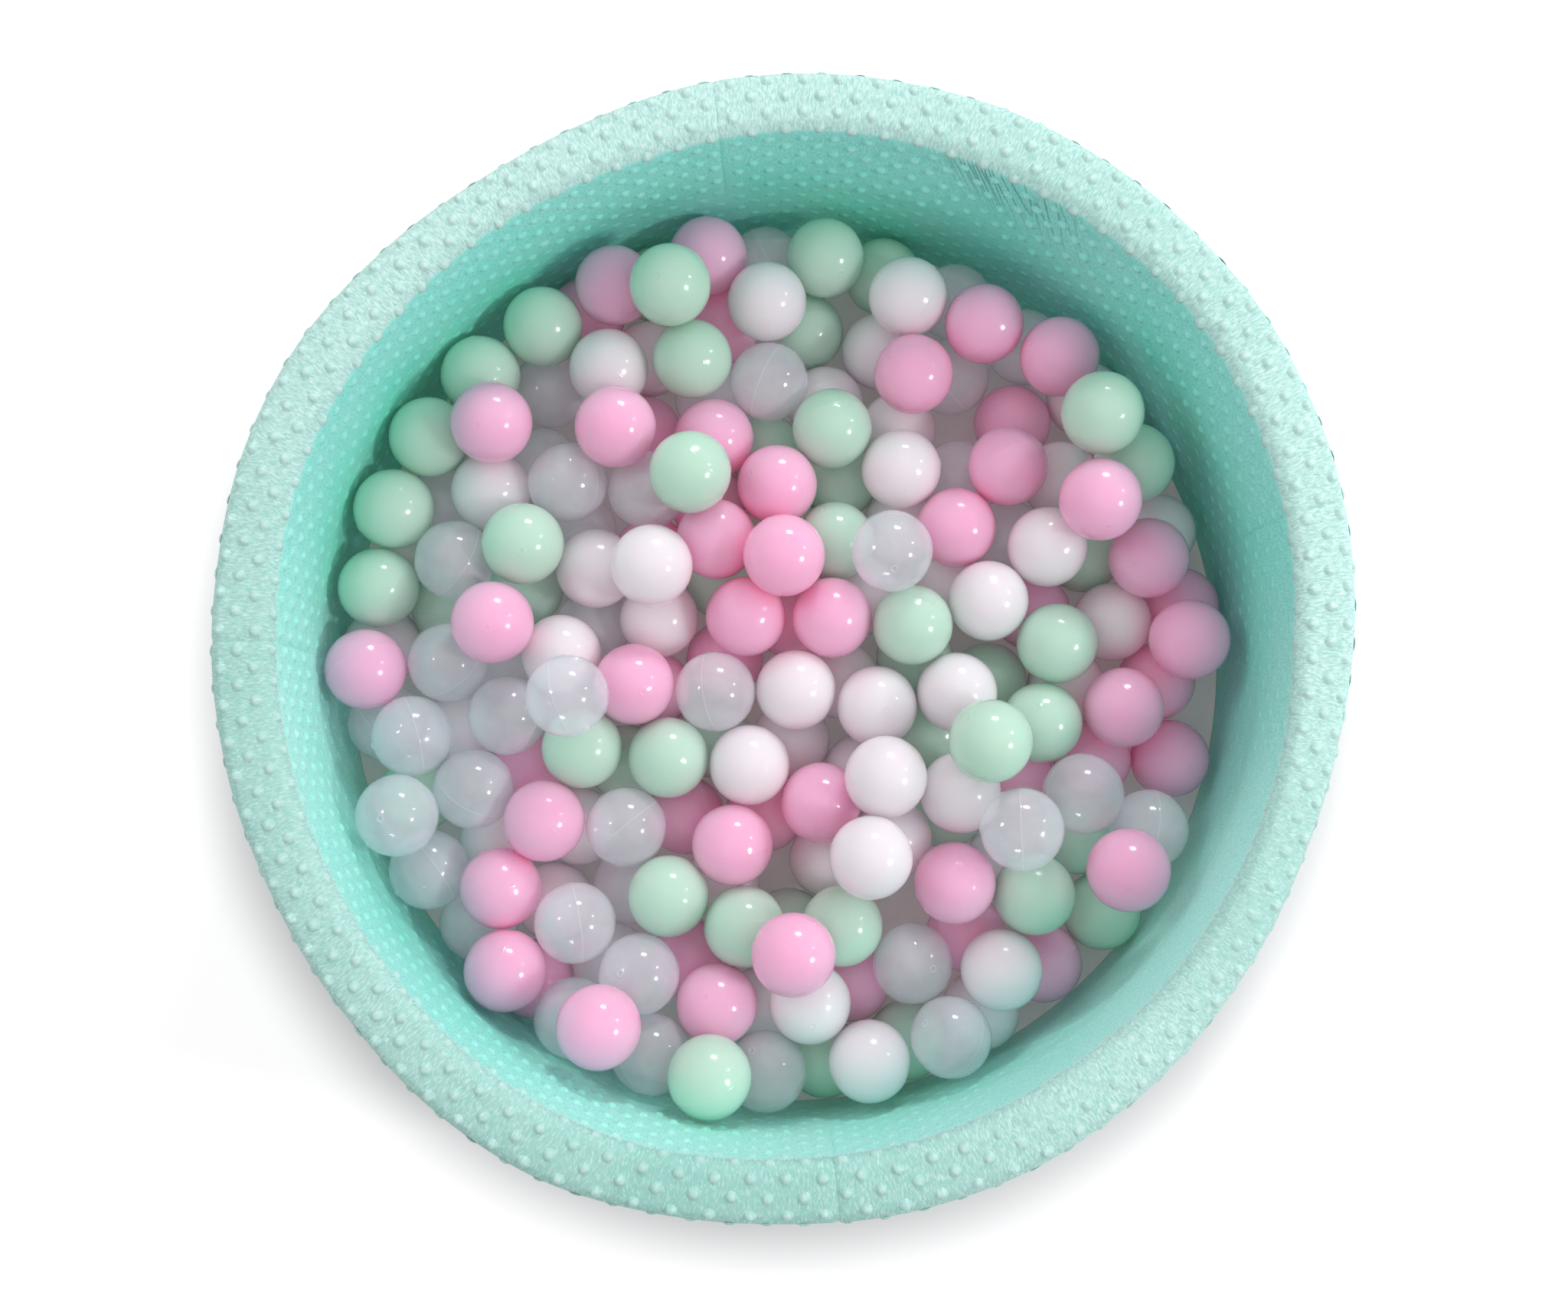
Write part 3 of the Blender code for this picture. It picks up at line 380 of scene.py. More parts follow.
@dataclass(frozen=True)
class PlushFinish:
    """Short plush with raised dots, its nap streaked with pale tips over a deep ground. The walls carry
    painted shade: deeper, shaded copies of the rim's colours, deeper still near the balls, on the dot
    flanks and along the creases. Patches of the rim carry painted shade, and the dot tops and parts of
    the walls carry painted light.
    """

    tip: Colour = (0.62, 0.87, 0.82)
    ground: Colour = (0.29, 0.57, 0.51)
    # Painted shade: the walls' tip and ground are deeper, shaded copies of the rim's tip and ground.
    wall_tip_painted_shade: Colour = (0.38, 0.95, 0.86)
    wall_ground_painted_shade: Colour = (0.18, 0.78, 0.66)
    # Painted light on the walls' dot tops.
    wall_dot_painted_light: Colour = (0.58, 0.94, 0.88)
    # Painted shade near the balls, low on the walls.
    wall_painted_deep_shade: Colour = (0.10, 0.72, 0.52)
    # Painted light: a paler wall colour where the walls are lit, by angle.
    wall_painted_light: Colour = (0.60, 1.0, 0.93)
    # Painted shade: darker patches of the rim's nap.
    painted_nap_shade: Colour = (0.24, 0.56, 0.48)
    # Pale fringe along the rim's inner edge, and the painted light on the rim's dot tops.
    pale_fringe_and_painted_dot_light: Colour = (0.76, 0.93, 0.89)
    # Painted shade in the creases and on the walls' dot flanks.
    painted_crease_shade: Colour = (0.05, 0.32, 0.24)
    sheen_tint: Colour = (0.78, 1.0, 0.94)
    stirring: Grain = Grain(38.0, 1.0)
    swirl: float = 4 * MM
    streaks: Grain = Grain(1.0, 2.0, 0.6)
    streak_scale: Scale = (620.0, 200.0, 1.0)
    folds: Grain = Grain(1.0, 0.0, 0.15)
    fold_scale: Scale = (150.0, 9.0, 1.0)
    fold_turn: float = math.radians(27)
    fluff: Grain = Grain(900.0)
    clump: Grain = Grain(120.0)
    broad: Grain = Grain(14.0)
    fold_line: Ramp = Ramp(0.0, 0.05, 1.0, 0.0)
    rim_nap: Ramp = Ramp(0.32, 0.68, 0.2)
    wall_nap: Ramp = Ramp(0.30, 0.66)
    painted_light_nap: Ramp = Ramp(0.32, 0.68, 0.15, 0.65)
    painted_deep_shade_below: Ramp = Ramp(190 * MM, 262 * MM, 0.55, 0.0)
    ragged_nap: Ramp = Ramp(0.3, 0.7, -0.38, 0.38)
    ragged_clump: Ramp = Ramp(0.3, 0.7, -0.10, 0.10)
    fringed: Ramp = Ramp(0.05, 0.45, 0.0, 0.4)
    rim_to_wall: Ramp = Ramp(0.35, 0.75)
    paled: Ramp = Ramp(0.3, 0.7, 0.0, 0.14)
    clumped: Ramp = Ramp(0.45, 0.7, 0.0, 0.09)
    roughness: Ramp = Ramp(0.3, 0.7, 0.82, 0.98)
    sheen: Ramp = Ramp(0.0, 1.0, 0.18, 0.6)
    painted_nap_shade_share: float = 0.7
    rim_painted_flank_share: float = 1.6
    rim_painted_dot_light: float = 0.3
    wall_painted_flank_share: float = 0.5
    wall_painted_dot_light: float = 0.28
    painted_crease_share: float = 0.6
    fold_relief: Relief = Relief(-1.1 * MM, 1.0)
    clump_relief: Relief = Relief(0.5 * MM, 0.35)
    nap_relief: Relief = Relief(0.5 * MM, 0.6)
    fluff_relief: Relief = Relief(0.3 * MM, 0.45)

    def build(self) -> Material:
        """Builds the plush, which reads the attributes that the cover's cloth and dots hold."""
        graph = ShaderGraph("plush")
        nap = graph.attribute("nap", "Vector")
        tip = graph.attribute("tip")
        sheen_and_painted_light = graph.attribute("sheen_and_painted_light")
        stirred = graph.noise(nap, self.stirring).outputs["Color"]
        centred = graph.add("ShaderNodeVectorMath", {0: stirred, 1: (0.5, 0.5, 0.5)}, operation="SUBTRACT")
        swirl = graph.scaled(centred, 2 * self.swirl)
        lain = graph.add("ShaderNodeVectorMath", {0: nap, 1: swirl}, operation="ADD")
        streaks = graph.noise(graph.stretched(lain, self.streak_scale), self.streaks)
        fluff = graph.noise(graph.place(), self.fluff)
        clump = graph.noise(graph.place(), self.clump)
        # Painted shade: a darker ring round each dot's flank, midway up its bell.
        painted_flank_shade = graph.math("MULTIPLY", tip, graph.math("SUBTRACT", 1.0, tip))
        turned = graph.stretched(nap, (1.0, 1.0, 1.0), self.fold_turn)
        folds = graph.noise(graph.stretched(turned, self.fold_scale), self.folds)
        off = graph.math("ABSOLUTE", graph.math("SUBTRACT", folds, 0.5))
        folded = graph.math("MULTIPLY", graph.ranged(off, self.fold_line), graph.attribute("crease"))
        rim = graph.stained(self.ground, streaks, self.rim_nap, self.tip)
        # Painted shade: the rim darker in patches, by angle.
        rim = graph.toned(rim, graph.attribute("painted_nap_shade"), self.painted_nap_shade_share, self.painted_nap_shade)
        rim = graph.toned(rim, painted_flank_shade, self.rim_painted_flank_share, self.ground)
        # Painted light: paler dot tops, here and on the walls.
        rim = graph.toned(rim, tip, self.rim_painted_dot_light, self.pale_fringe_and_painted_dot_light)
        wall = graph.stained(self.wall_ground_painted_shade, streaks, self.wall_nap, self.wall_tip_painted_shade)
        wall = graph.toned(wall, painted_flank_shade, self.wall_painted_flank_share, self.painted_crease_shade)
        wall = graph.toned(wall, tip, self.wall_painted_dot_light, self.wall_dot_painted_light)
        # Painted shade: darker lines along the creases under the rim at the back right, which also bump the
        # normal.
        wall = graph.toned(wall, folded, self.painted_crease_share, self.painted_crease_shade)
        # Painted shade: the walls turn deeper green towards the bottom, near the balls.
        height = graph.add("ShaderNodeSeparateXYZ", {0: graph.place()}).outputs["Z"]
        wall = graph.stained(wall, height, self.painted_deep_shade_below, self.wall_painted_deep_shade)
        # Painted light: parts of the walls paler by angle, in streaks; the same share raises the sheen.
        shown = graph.math("MULTIPLY", sheen_and_painted_light, graph.ranged(streaks, self.painted_light_nap))
        wall = graph.mixed(shown, wall, self.wall_painted_light)
        ragged = graph.math("ADD", graph.attribute("painted_wall_shade"), graph.ranged(streaks, self.ragged_nap))
        ragged = graph.math("ADD", ragged, graph.ranged(clump, self.ragged_clump))
        rim = graph.stained(rim, ragged, self.fringed, self.pale_fringe_and_painted_dot_light)
        # Painted shade: the wall colours take over from the rim's where the painted wall shade says.
        colour = graph.mixed(graph.ranged(ragged, self.rim_to_wall), rim, wall)
        colour = graph.stained(colour, graph.noise(graph.place(), self.broad), self.paled, self.tip)
        colour = graph.stained(colour, clump, self.clumped, self.wall_ground_painted_shade)
        normal = graph.bump(folded, self.fold_relief, graph.bump(clump, self.clump_relief))
        normal = graph.bump(fluff, self.fluff_relief, graph.bump(streaks, self.nap_relief, normal))
        return graph.finish(
            Base_Color=colour, Roughness=graph.ranged(fluff, self.roughness), Normal=normal,
            Specular_IOR_Level=0.15, Sheen_Weight=graph.ranged(sheen_and_painted_light, self.sheen), Sheen_Roughness=0.45,
            Sheen_Tint=self.sheen_tint,
        )


@dataclass(frozen=True)
class WovenFinish:
    """Plain woven cloth or tape, with its threads crossing in relief."""

    name: str
    colour: Colour
    shade: Colour
    thread: float = 0.7 * MM
    waver: float = 0.4
    warp_share: float = 0.35
    slub: Grain = Grain(1.0, 3.0)
    slub_scale: Scale = (90.0, 90.0, 400.0)
    broad: Grain = Grain(11.0)
    threads: Ramp = Ramp(0.2, 1.0)
    slubbed: Ramp = Ramp(0.45, 0.75, 0.0, 0.35)
    shaded: Ramp = Ramp(0.35, 0.7, 0.0, 0.2)
    roughness: Ramp = Ramp(0.3, 0.7, 0.78, 0.95)
    weave_relief: Relief = Relief(0.12 * MM, 0.6)
    slub_relief: Relief = Relief(0.12 * MM, 0.4)

    def build(self) -> Material:
        """Builds the weave in the object's own coordinates."""
        graph = ShaderGraph(self.name)
        place = graph.place()
        scale = FULL_TURN / self.thread / 20
        waves = {"Vector": place, "Scale": scale, "Distortion": self.waver, "Detail": 1.0}
        bands = [
            graph.add("ShaderNodeTexWave", waves, wave_type="BANDS", bands_direction=axis, wave_profile="SIN")
            for axis in "XYZ"
        ]
        crossed = graph.math("MULTIPLY", graph.math("MAXIMUM", bands[0], bands[1]), bands[2])
        weave = graph.math("ADD", crossed, graph.math("MULTIPLY", bands[0], self.warp_share))
        slub = graph.noise(graph.stretched(place, self.slub_scale), self.slub)
        colour = graph.stained(self.shade, weave, self.threads, self.colour)
        colour = graph.stained(colour, slub, self.slubbed, self.shade)
        colour = graph.stained(colour, graph.noise(place, self.broad), self.shaded, self.shade)
        return graph.finish(
            Base_Color=colour, Roughness=graph.ranged(slub, self.roughness), Specular_IOR_Level=0.2,
            Normal=graph.bump(slub, self.slub_relief, graph.bump(weave, self.weave_relief)),
            Sheen_Weight=0.15, Sheen_Roughness=0.5,
        )


@dataclass(frozen=True)
class FoamFinish:
    """Cut open-cell foam, pale and porous."""

    colour: Colour = (0.84, 0.82, 0.70)
    pore: Colour = (0.55, 0.52, 0.40)
    cell_scale: float = 480.0
    large_scale: float = 150.0
    large_rise: float = 0.15
    broad: Grain = Grain(20.0, 3.0)
    pored: Ramp = Ramp(0.1, 0.5)
    yellowed: Ramp = Ramp(0.4, 0.75, 0.0, 0.25)
    roughness: Ramp = Ramp(0.0, 0.5, 0.98, 0.85)
    relief: Relief = Relief(0.5 * MM, 0.6)

    def build(self) -> Material:
        """Builds the foam with two sizes of pore."""
        graph = ShaderGraph("foam")
        place = graph.place()
        cells = graph.add("ShaderNodeTexVoronoi", {"Vector": place, "Scale": self.cell_scale})
        large = graph.add("ShaderNodeTexVoronoi", {"Vector": place, "Scale": self.large_scale})
        pores = graph.math("MINIMUM", cells, graph.math("ADD", large, self.large_rise))
        colour = graph.stained(self.pore, pores, self.pored, self.colour)
        colour = graph.stained(colour, graph.noise(place, self.broad), self.yellowed, self.pore)
        return graph.finish(
            Base_Color=colour, Roughness=graph.ranged(pores, self.roughness),
            Normal=graph.bump(pores, self.relief), Specular_IOR_Level=0.1,
        )


@dataclass(frozen=True)
class MouldedFinish:
    """Blown plastic of a ball: softly glossy, faintly uneven, and a little deeper where it is thick."""

    name: str
    colour: Colour
    deep: Colour
    cloud: Grain = Grain(26.0)
    smudge: Grain = Grain(75.0, 3.0, 0.4)
    peel: Grain = Grain(420.0, 1.0)
    clouded: Ramp = Ramp(0.35, 0.75, 0.0, 0.20)
    tone_share: float = 0.22
    roughness: Ramp = Ramp(0.35, 0.75, 0.13, 0.20)
    relief: Relief = Relief(0.05 * MM, 0.35)
    softness: float = 0.9
    soft_colour: Colour = (1.0, 0.8, 0.8)
    soft_reach: float = 60 * MM

    def build(self) -> Material:
        """Builds the plastic, with each ball's own tone from its attribute."""
        graph = ShaderGraph(self.name)
        place = graph.place()
        colour = graph.stained(self.colour, graph.noise(place, self.cloud), self.clouded, self.deep)
        return graph.finish(
            Base_Color=graph.toned(colour, graph.attribute("tone"), self.tone_share, self.deep),
            Roughness=graph.ranged(graph.noise(place, self.smudge), self.roughness),
            Normal=graph.bump(graph.noise(place, self.peel), self.relief), Specular_IOR_Level=0.55,
            Subsurface_Weight=self.softness, Subsurface_Radius=self.soft_colour,
            Subsurface_Scale=self.soft_reach,
        )


@dataclass(frozen=True)
class FrostedFinish:
    """Thin milky plastic of a clear ball, that shows what lies behind it, and least at its edge."""

    name: str = "ball_clear"
    colour: Colour = (0.87, 0.89, 0.95)
    deep: Colour = (0.80, 0.82, 0.88)
    cloud: Grain = Grain(30.0, 2.0, 0.3)
    peel: Grain = Grain(300.0, 1.0)
    clouded: Ramp = Ramp(0.35, 0.7, 0.0, 0.5)
    tone_share: float = 0.2
    edge_blend: float = 0.28
    edge_power: float = 1.8
    milk: Ramp = Ramp(0.0, 1.0, 0.35, 0.95)
    cloud_milk: Ramp = Ramp(0.4, 0.7, 0.0, 0.08)
    ridge_share: float = 0.14
    roughness: Ramp = Ramp(0.3, 0.7, 0.09, 0.17)
    relief: Relief = Relief(0.05 * MM, 0.35)

    def build(self) -> Material:
        """Builds the milky film."""
        graph = ShaderGraph(self.name)
        place = graph.place()
        cloud = graph.noise(place, self.cloud)
        colour = graph.stained(self.colour, cloud, self.clouded, self.deep)
        edge = graph.add("ShaderNodeLayerWeight", {"Blend": self.edge_blend}).outputs["Facing"]
        milk = graph.ranged(graph.math("POWER", edge, self.edge_power), self.milk)
        cloudy = graph.math("ADD", milk, graph.ranged(cloud, self.cloud_milk))
        ridge = graph.math("MULTIPLY", graph.attribute("ridge"), self.ridge_share)
        return graph.finish(
            Base_Color=graph.toned(colour, graph.attribute("tone"), self.tone_share, self.deep),
            Roughness=graph.ranged(cloud, self.roughness), Alpha=graph.math("ADD", cloudy, ridge),
            Normal=graph.bump(graph.noise(place, self.peel), self.relief), Specular_IOR_Level=1.0,
            Coat_Weight=1.0, Coat_Roughness=0.06,
        )


@dataclass(frozen=True)
class NylonFinish:
    """Moulded nylon of the zip's teeth, or sewing thread."""

    name: str
    colour: Colour
    shade: Colour
    roughness: Ramp = Ramp(0.3, 0.7, 0.42, 0.57)
    grain: Grain = Grain(1400.0)
    cloud: Grain = Grain(45.0)
    clouded: Ramp = Ramp(0.35, 0.7, 0.0, 0.5)
    relief: Relief = Relief(0.05 * MM, 0.4)

    def build(self) -> Material:
        """Builds the nylon with a fine grain."""
        graph = ShaderGraph(self.name)
        place = graph.place()
        grain = graph.noise(place, self.grain)
        return graph.finish(
            Base_Color=graph.stained(self.colour, graph.noise(place, self.cloud), self.clouded, self.shade),
            Roughness=graph.ranged(grain, self.roughness), Normal=graph.bump(grain, self.relief),
        )


@dataclass(frozen=True)
class ZincFinish:
    """Tumbled and plated zinc of the slider, pull and stops."""

    colour: Colour = (0.68, 0.69, 0.70)
    worn: Colour = (0.46, 0.46, 0.46)
    scratches: Grain = Grain(1.0)
    scratch_scale: Scale = (500.0, 500.0, 5200.0)
    scratch_turn: float = 0.4
    patches: Grain = Grain(260.0, 3.0)
    dulled: Ramp = Ramp(0.45, 0.7, 0.0, 0.6)
    roughness: Ramp = Ramp(0.3, 0.75, 0.24, 0.48)
    relief: Relief = Relief(0.03 * MM, 0.35)

    def build(self) -> Material:
        """Builds the metal with fine scratches and dulled patches."""
        graph = ShaderGraph("zip_metal")
        place = graph.place()
        scratches = graph.noise(graph.stretched(place, self.scratch_scale, self.scratch_turn), self.scratches)
        patches = graph.noise(place, self.patches)
        return graph.finish(
            Base_Color=graph.stained(self.colour, patches, self.dulled, self.worn), Metallic=1.0,
            Roughness=graph.ranged(patches, self.roughness), Normal=graph.bump(scratches, self.relief),
        )


def build_finishes() -> dict[str, list[Material]]:
    """Builds every finish of the pit.

    Returns:
        The materials of each slot, by the slot's name.
    """
    pink = MouldedFinish("ball_pink", (1.0, 0.47, 0.66), (1.0, 0.35, 0.54))
    mint = MouldedFinish("ball_mint", (0.50, 0.71, 0.59), (0.41, 0.66, 0.51))
    white = MouldedFinish("ball_white", (0.80, 0.75, 0.79), (0.76, 0.71, 0.75))
    balls = [finish.build() for finish in (pink, mint, white, FrostedFinish())]
    tape = WovenFinish("zip_tape", (0.44, 0.77, 0.68), (0.30, 0.62, 0.53), 0.5 * MM)
    thread = NylonFinish("thread", (0.55, 0.82, 0.73), (0.42, 0.70, 0.61), Ramp(0.3, 0.7, 0.6, 0.75))
    return {
        "plush": [PlushFinish().build()],
        "cloth": [WovenFinish("cloth", (0.74, 0.72, 0.71), (0.63, 0.61, 0.60)).build()],
        "foam": [FoamFinish().build()],
        "zip_tape": [tape.build()],
        "zip_teeth": [NylonFinish("zip_teeth", (0.62, 0.85, 0.78), (0.48, 0.74, 0.66)).build()],
        "zip_metal": [ZincFinish().build()],
        "thread": [thread.build()],
        "balls_mixed": balls,
        **{f"ball_{colour.value}": [ball] for colour, ball in zip(BallColour, balls)},
    }


def linked(name: str, mesh: Mesh) -> Object:
    """Links a mesh to the scene as an object at the origin.

    Args:
        name: The object's name.
        mesh: Its mesh.

    Returns:
        The object.
    """
    made = bpy.data.objects.new(name, mesh)
    bpy.context.scene.collection.objects.link(made)
    return made


def discard(obj: Object) -> None:
    """Removes a helper object and its mesh."""
    mesh = obj.data
    bpy.data.objects.remove(obj)
    bpy.data.meshes.remove(mesh)


def drawn(bm: bmesh.types.BMesh, name: str, smooth: bool = True) -> Mesh:
    """Turns a BMesh into a mesh and frees it.

    Args:
        bm: The BMesh.
        name: The mesh's name.
        smooth: Whether its faces are shaded smooth.

    Returns:
        The mesh.
    """
    mesh = bpy.data.meshes.new(name)
    bm.to_mesh(mesh)
    bm.free()
    if smooth:
        mesh.shade_smooth()
    return mesh


def mesh_of(name: str, points: np.ndarray, faces: list[list[int]], outward: bool = True) -> Mesh:
    """Makes a smooth mesh from points and faces.

    Args:
        name: The mesh's name.
        points: Corner places, one row each.
        faces: Corner numbers of each face.
        outward: Whether its normals are worked out again, to face outwards.

    Returns:
        The mesh.
    """
    mesh = bpy.data.meshes.new(name)
    mesh.from_pydata(points.tolist(), [], faces)
    if outward:
        bm = bmesh.new()
        bm.from_mesh(mesh)
        bmesh.ops.recalc_face_normals(bm, faces=bm.faces)
        bm.to_mesh(mesh)
        bm.free()
    mesh.shade_smooth()
    mesh.update()
    return mesh


def path_of(name: str, points: Sequence[Sequence[float]], closed: bool = False) -> Object:
    """Makes a helper object that is a path through some points.

    Args:
        name: The object's name.
        points: The points.
        closed: Whether it comes back to its start.

    Returns:
        The helper.
    """
    mesh = bpy.data.meshes.new(name)
    links = [(index, index + 1) for index in range(len(points) - 1)]
    mesh.from_pydata(points, links + ([(len(points) - 1, 0)] if closed else []), [])
    return linked(name, mesh)


def store(mesh: Mesh, name: str, values: np.ndarray) -> None:
    """Stores a point attribute on a mesh: one number or one vector for each point."""
    kind, part = ("FLOAT_VECTOR", "vector") if values.ndim == 2 else ("FLOAT", "value")
    mesh.attributes.new(name, kind, "POINT").data.foreach_set(part, values.astype(np.float32).ravel())


def grid_quads(rows: int, columns: int, wrapped: bool) -> np.ndarray:
    """Faces of a grid of points, row by row.

    Args:
        rows: Number of rows.
        columns: Number of columns.
        wrapped: Whether the last column joins the first.

    Returns:
        The corner numbers of each face.
    """
    numbers = np.arange(rows * columns).reshape(rows, columns)
    if wrapped:
        numbers = np.hstack([numbers, numbers[:, :1]])
    corners = [numbers[:-1, :-1], numbers[:-1, 1:], numbers[1:, 1:], numbers[1:, :-1]]
    return np.stack(corners, axis=-1).reshape(-1, 4)


def sheet_mesh(name: str, outer: np.ndarray, inner: np.ndarray, wrapped: bool = False) -> Mesh:
    """Makes a closed sheet from its two sides.

    Args:
        name: The mesh's name.
        outer: Points of the outer side, by row and column.
        inner: Points of the inner side, in the same order.
        wrapped: Whether the sheet goes right round, with a pole after its last row.

    Returns:
        The mesh, whose first points are the outer side.
    """
    rows, columns = outer.shape[:2]
    count = rows * columns
    numbers = np.arange(count).reshape(rows, columns)
    quads = grid_quads(rows, columns, wrapped)
    points = [outer.reshape(-1, 3), inner.reshape(-1, 3)]
    caps: list[list[int]] = []
    if wrapped:
        border = np.append(numbers[0], numbers[0, 0])
        points.append(np.stack([outer[-1].mean(axis=0), inner[-1].mean(axis=0)]))
        last = np.append(numbers[-1], numbers[-1, 0]).tolist()
        for first, second in zip(last[:-1], last[1:]):
            caps += [[first, second, 2 * count], [second + count, first + count, 2 * count + 1]]
    else:
        border = np.concatenate([numbers[0], numbers[1:, -1], numbers[-1, -2::-1], numbers[-2::-1, 0]])
    strip = np.column_stack([border[:-1], border[1:], border[1:] + count, border[:-1] + count])
    faces = np.vstack([quads, quads[:, ::-1] + count, strip]).tolist()
    return mesh_of(name, np.vstack(points), faces + caps)


def turned_points(profile: np.ndarray, turns: np.ndarray) -> np.ndarray:
    """Turns points (r, z) about Z. The result is by angle and by place in the profile."""
    around = np.column_stack([np.cos(turns), np.sin(turns), np.ones(len(turns))])
    return around[:, None, :] * profile[None, :, [0, 0, 1]]


def round_turns(steps: int) -> np.ndarray:
    """Even angles right round."""
    return FULL_TURN * np.arange(steps) / steps


def bar_mesh(name: str, points: np.ndarray) -> Mesh:
    """Closes a row of like sections into a bar.

    Args:
        name: The mesh's name.
        points: The points, by section and by place round it.

    Returns:
        The closed mesh.
    """
    numbers = np.arange(points.shape[0] * points.shape[1]).reshape(points.shape[:2])
    faces = grid_quads(*points.shape[:2], True).tolist()
    return mesh_of(name, points.reshape(-1, 3), faces + [numbers[0].tolist(), numbers[-1, ::-1].tolist()])


def turned_shell(profile: np.ndarray, steps: int) -> tuple[np.ndarray, list[list[int]]]:
    """Turns a profile right round Z, from a pole below to a pole above.

    Args:
        profile: Points (r, z), of which the first and the last lie on the axis.
        steps: How many steps it takes.

    Returns:
        The points, with the two poles last, and the faces.
    """
    points = turned_points(profile[1:-1], round_turns(steps)).transpose(1, 0, 2).reshape(-1, 3)
    count = len(points)
    faces = grid_quads(len(profile) - 2, steps, True).tolist()
    for index in range(steps):
        following = (index + 1) % steps
        faces.append([count, following, index])
        faces.append([count + 1, count - steps + index, count - steps + following])
    return np.vstack([points, [[0, 0, profile[0, 1]], [0, 0, profile[-1, 1]]]]), faces


def arc(centre: tuple[float, float], radius: float, start: float, end: float, steps: int) -> Section:
    """Points (r, z) along an arc round a centre, in even steps between two angles in degrees."""
    angles = [math.radians(start + (end - start) * step / steps) for step in range(steps + 1)]
    return [(centre[0] + radius * math.cos(angle), centre[1] + radius * math.sin(angle)) for angle in angles]


def rounded_disc(
    name: str, reach: float, low: float, high: float, rounding: float, steps: tuple[int, int]
) -> Mesh:
    """A flat disc about Z with a rounded edge.

    Args:
        name: The mesh's name.
        reach: Its radius.
        low: Height of its underside.
        high: Height of its top.
        rounding: Radius of its edges.
        steps: How many steps it takes round Z, and round each edge.

    Returns:
        The closed mesh.
    """
    edge = reach - rounding
    profile = [(0.0, low), *arc((edge, low + rounding), rounding, -90, 0, steps[1])]
    profile += [*arc((edge, high - rounding), rounding, 0, 90, steps[1]), (0.0, high)]
    return mesh_of(name, *turned_shell(np.array(profile), steps[0]))


class GeometryTree(NodeGraph):
    """A Geometry Nodes tree with named inputs, that is run once on a carrier object."""

    def __init__(self, name: str, inputs: dict[str, str]) -> None:
        """Makes the tree with its inputs and outputs.

        Args:
            name: The tree's name.
            inputs: The kind of each input's socket, by the input's name. A seed and a material are
                always among them.
        """
        tree = bpy.data.node_groups.new(name, "GeometryNodeTree")
        super().__init__(tree)
        tree.interface.new_socket("Geometry", in_out="INPUT", socket_type="NodeSocketGeometry")
        for label, kind in {**inputs, "Seed": "Int", "Material": "Material"}.items():
            tree.interface.new_socket(label, in_out="INPUT", socket_type=f"NodeSocket{kind}")
        tree.interface.new_socket("Geometry", in_out="OUTPUT", socket_type="NodeSocketGeometry")
        self.given = self.add("NodeGroupInput").outputs

    def named(self, name: str, kind: str = "FLOAT") -> Socket:
        """Reads a named attribute, which is a number unless its kind says otherwise."""
        return self.add("GeometryNodeInputNamedAttribute", {"Name": name}, data_type=kind).outputs["Attribute"]

    def vector(self, name: str) -> Socket:
        """Reads a named vector."""
        return self.named(name, "FLOAT_VECTOR")

    def stored(self, geometry: object, name: str, value: object, kind: str = "FLOAT") -> Node:
        """Stores a named attribute on a geometry's points."""
        inputs = {"Geometry": geometry, "Name": name, "Value": value}
        return self.add("GeometryNodeStoreNamedAttribute", inputs, data_type=kind, domain="POINT")

    def turned_to(self, forward: object, upward: object) -> Node:
        """A rotation that points X forward and Z upward, along the two given directions."""
        first = self.add("FunctionNodeAlignRotationToVector", {"Vector": forward}, axis="X")
        both = {"Rotation": first, "Vector": upward}
        return self.add("FunctionNodeAlignRotationToVector", both, axis="Z", pivot_axis="X")

    def varied(self, span: tuple[float, float]) -> Socket:
        """A random number for each point, from the tree's fixed seed.

        Args:
            span: The least and the greatest number.

        Returns:
            The number.
        """
        node = self.add("FunctionNodeRandomValue", data_type="FLOAT")
        for socket in node.inputs:
            if socket.enabled and socket.name in ("Min", "Max"):
                socket.default_value = span[socket.name == "Max"]
        self.feed(node.inputs["Seed"], self.given["Seed"])
        return next(socket for socket in node.outputs if socket.enabled)

    def close(self, geometry: object) -> None:
        """Ends the tree with the realised geometry and its material."""
        real = self.add("GeometryNodeRealizeInstances", {"Geometry": geometry})
        dressed = self.add("GeometryNodeSetMaterial", {"Geometry": real, "Material": self.given["Material"]})
        self.add("NodeGroupOutput", {"Geometry": dressed})

    def run(self, carrier: Object, name: str, values: dict[str, object]) -> Mesh:
        """Runs the tree on a carrier and takes the result as a plain mesh.

        Args:
            carrier: The object whose geometry the tree starts from, which is removed.
            name: The mesh's name.
            values: The value of each input, by the input's name.

        Returns:
            The mesh.
        """
        modifier = carrier.modifiers.new(self.tree.name, "NODES")
        modifier.node_group = self.tree
        for item in self.tree.interface.items_tree:
            if item.in_out == "INPUT" and item.name in values:
                modifier[item.identifier] = values[item.name]
        graph = bpy.context.evaluated_depsgraph_get()
        mesh = bpy.data.meshes.new_from_object(carrier.evaluated_get(graph))
        carrier.modifiers.remove(modifier)
        discard(carrier)
        mesh.name = name
        return mesh


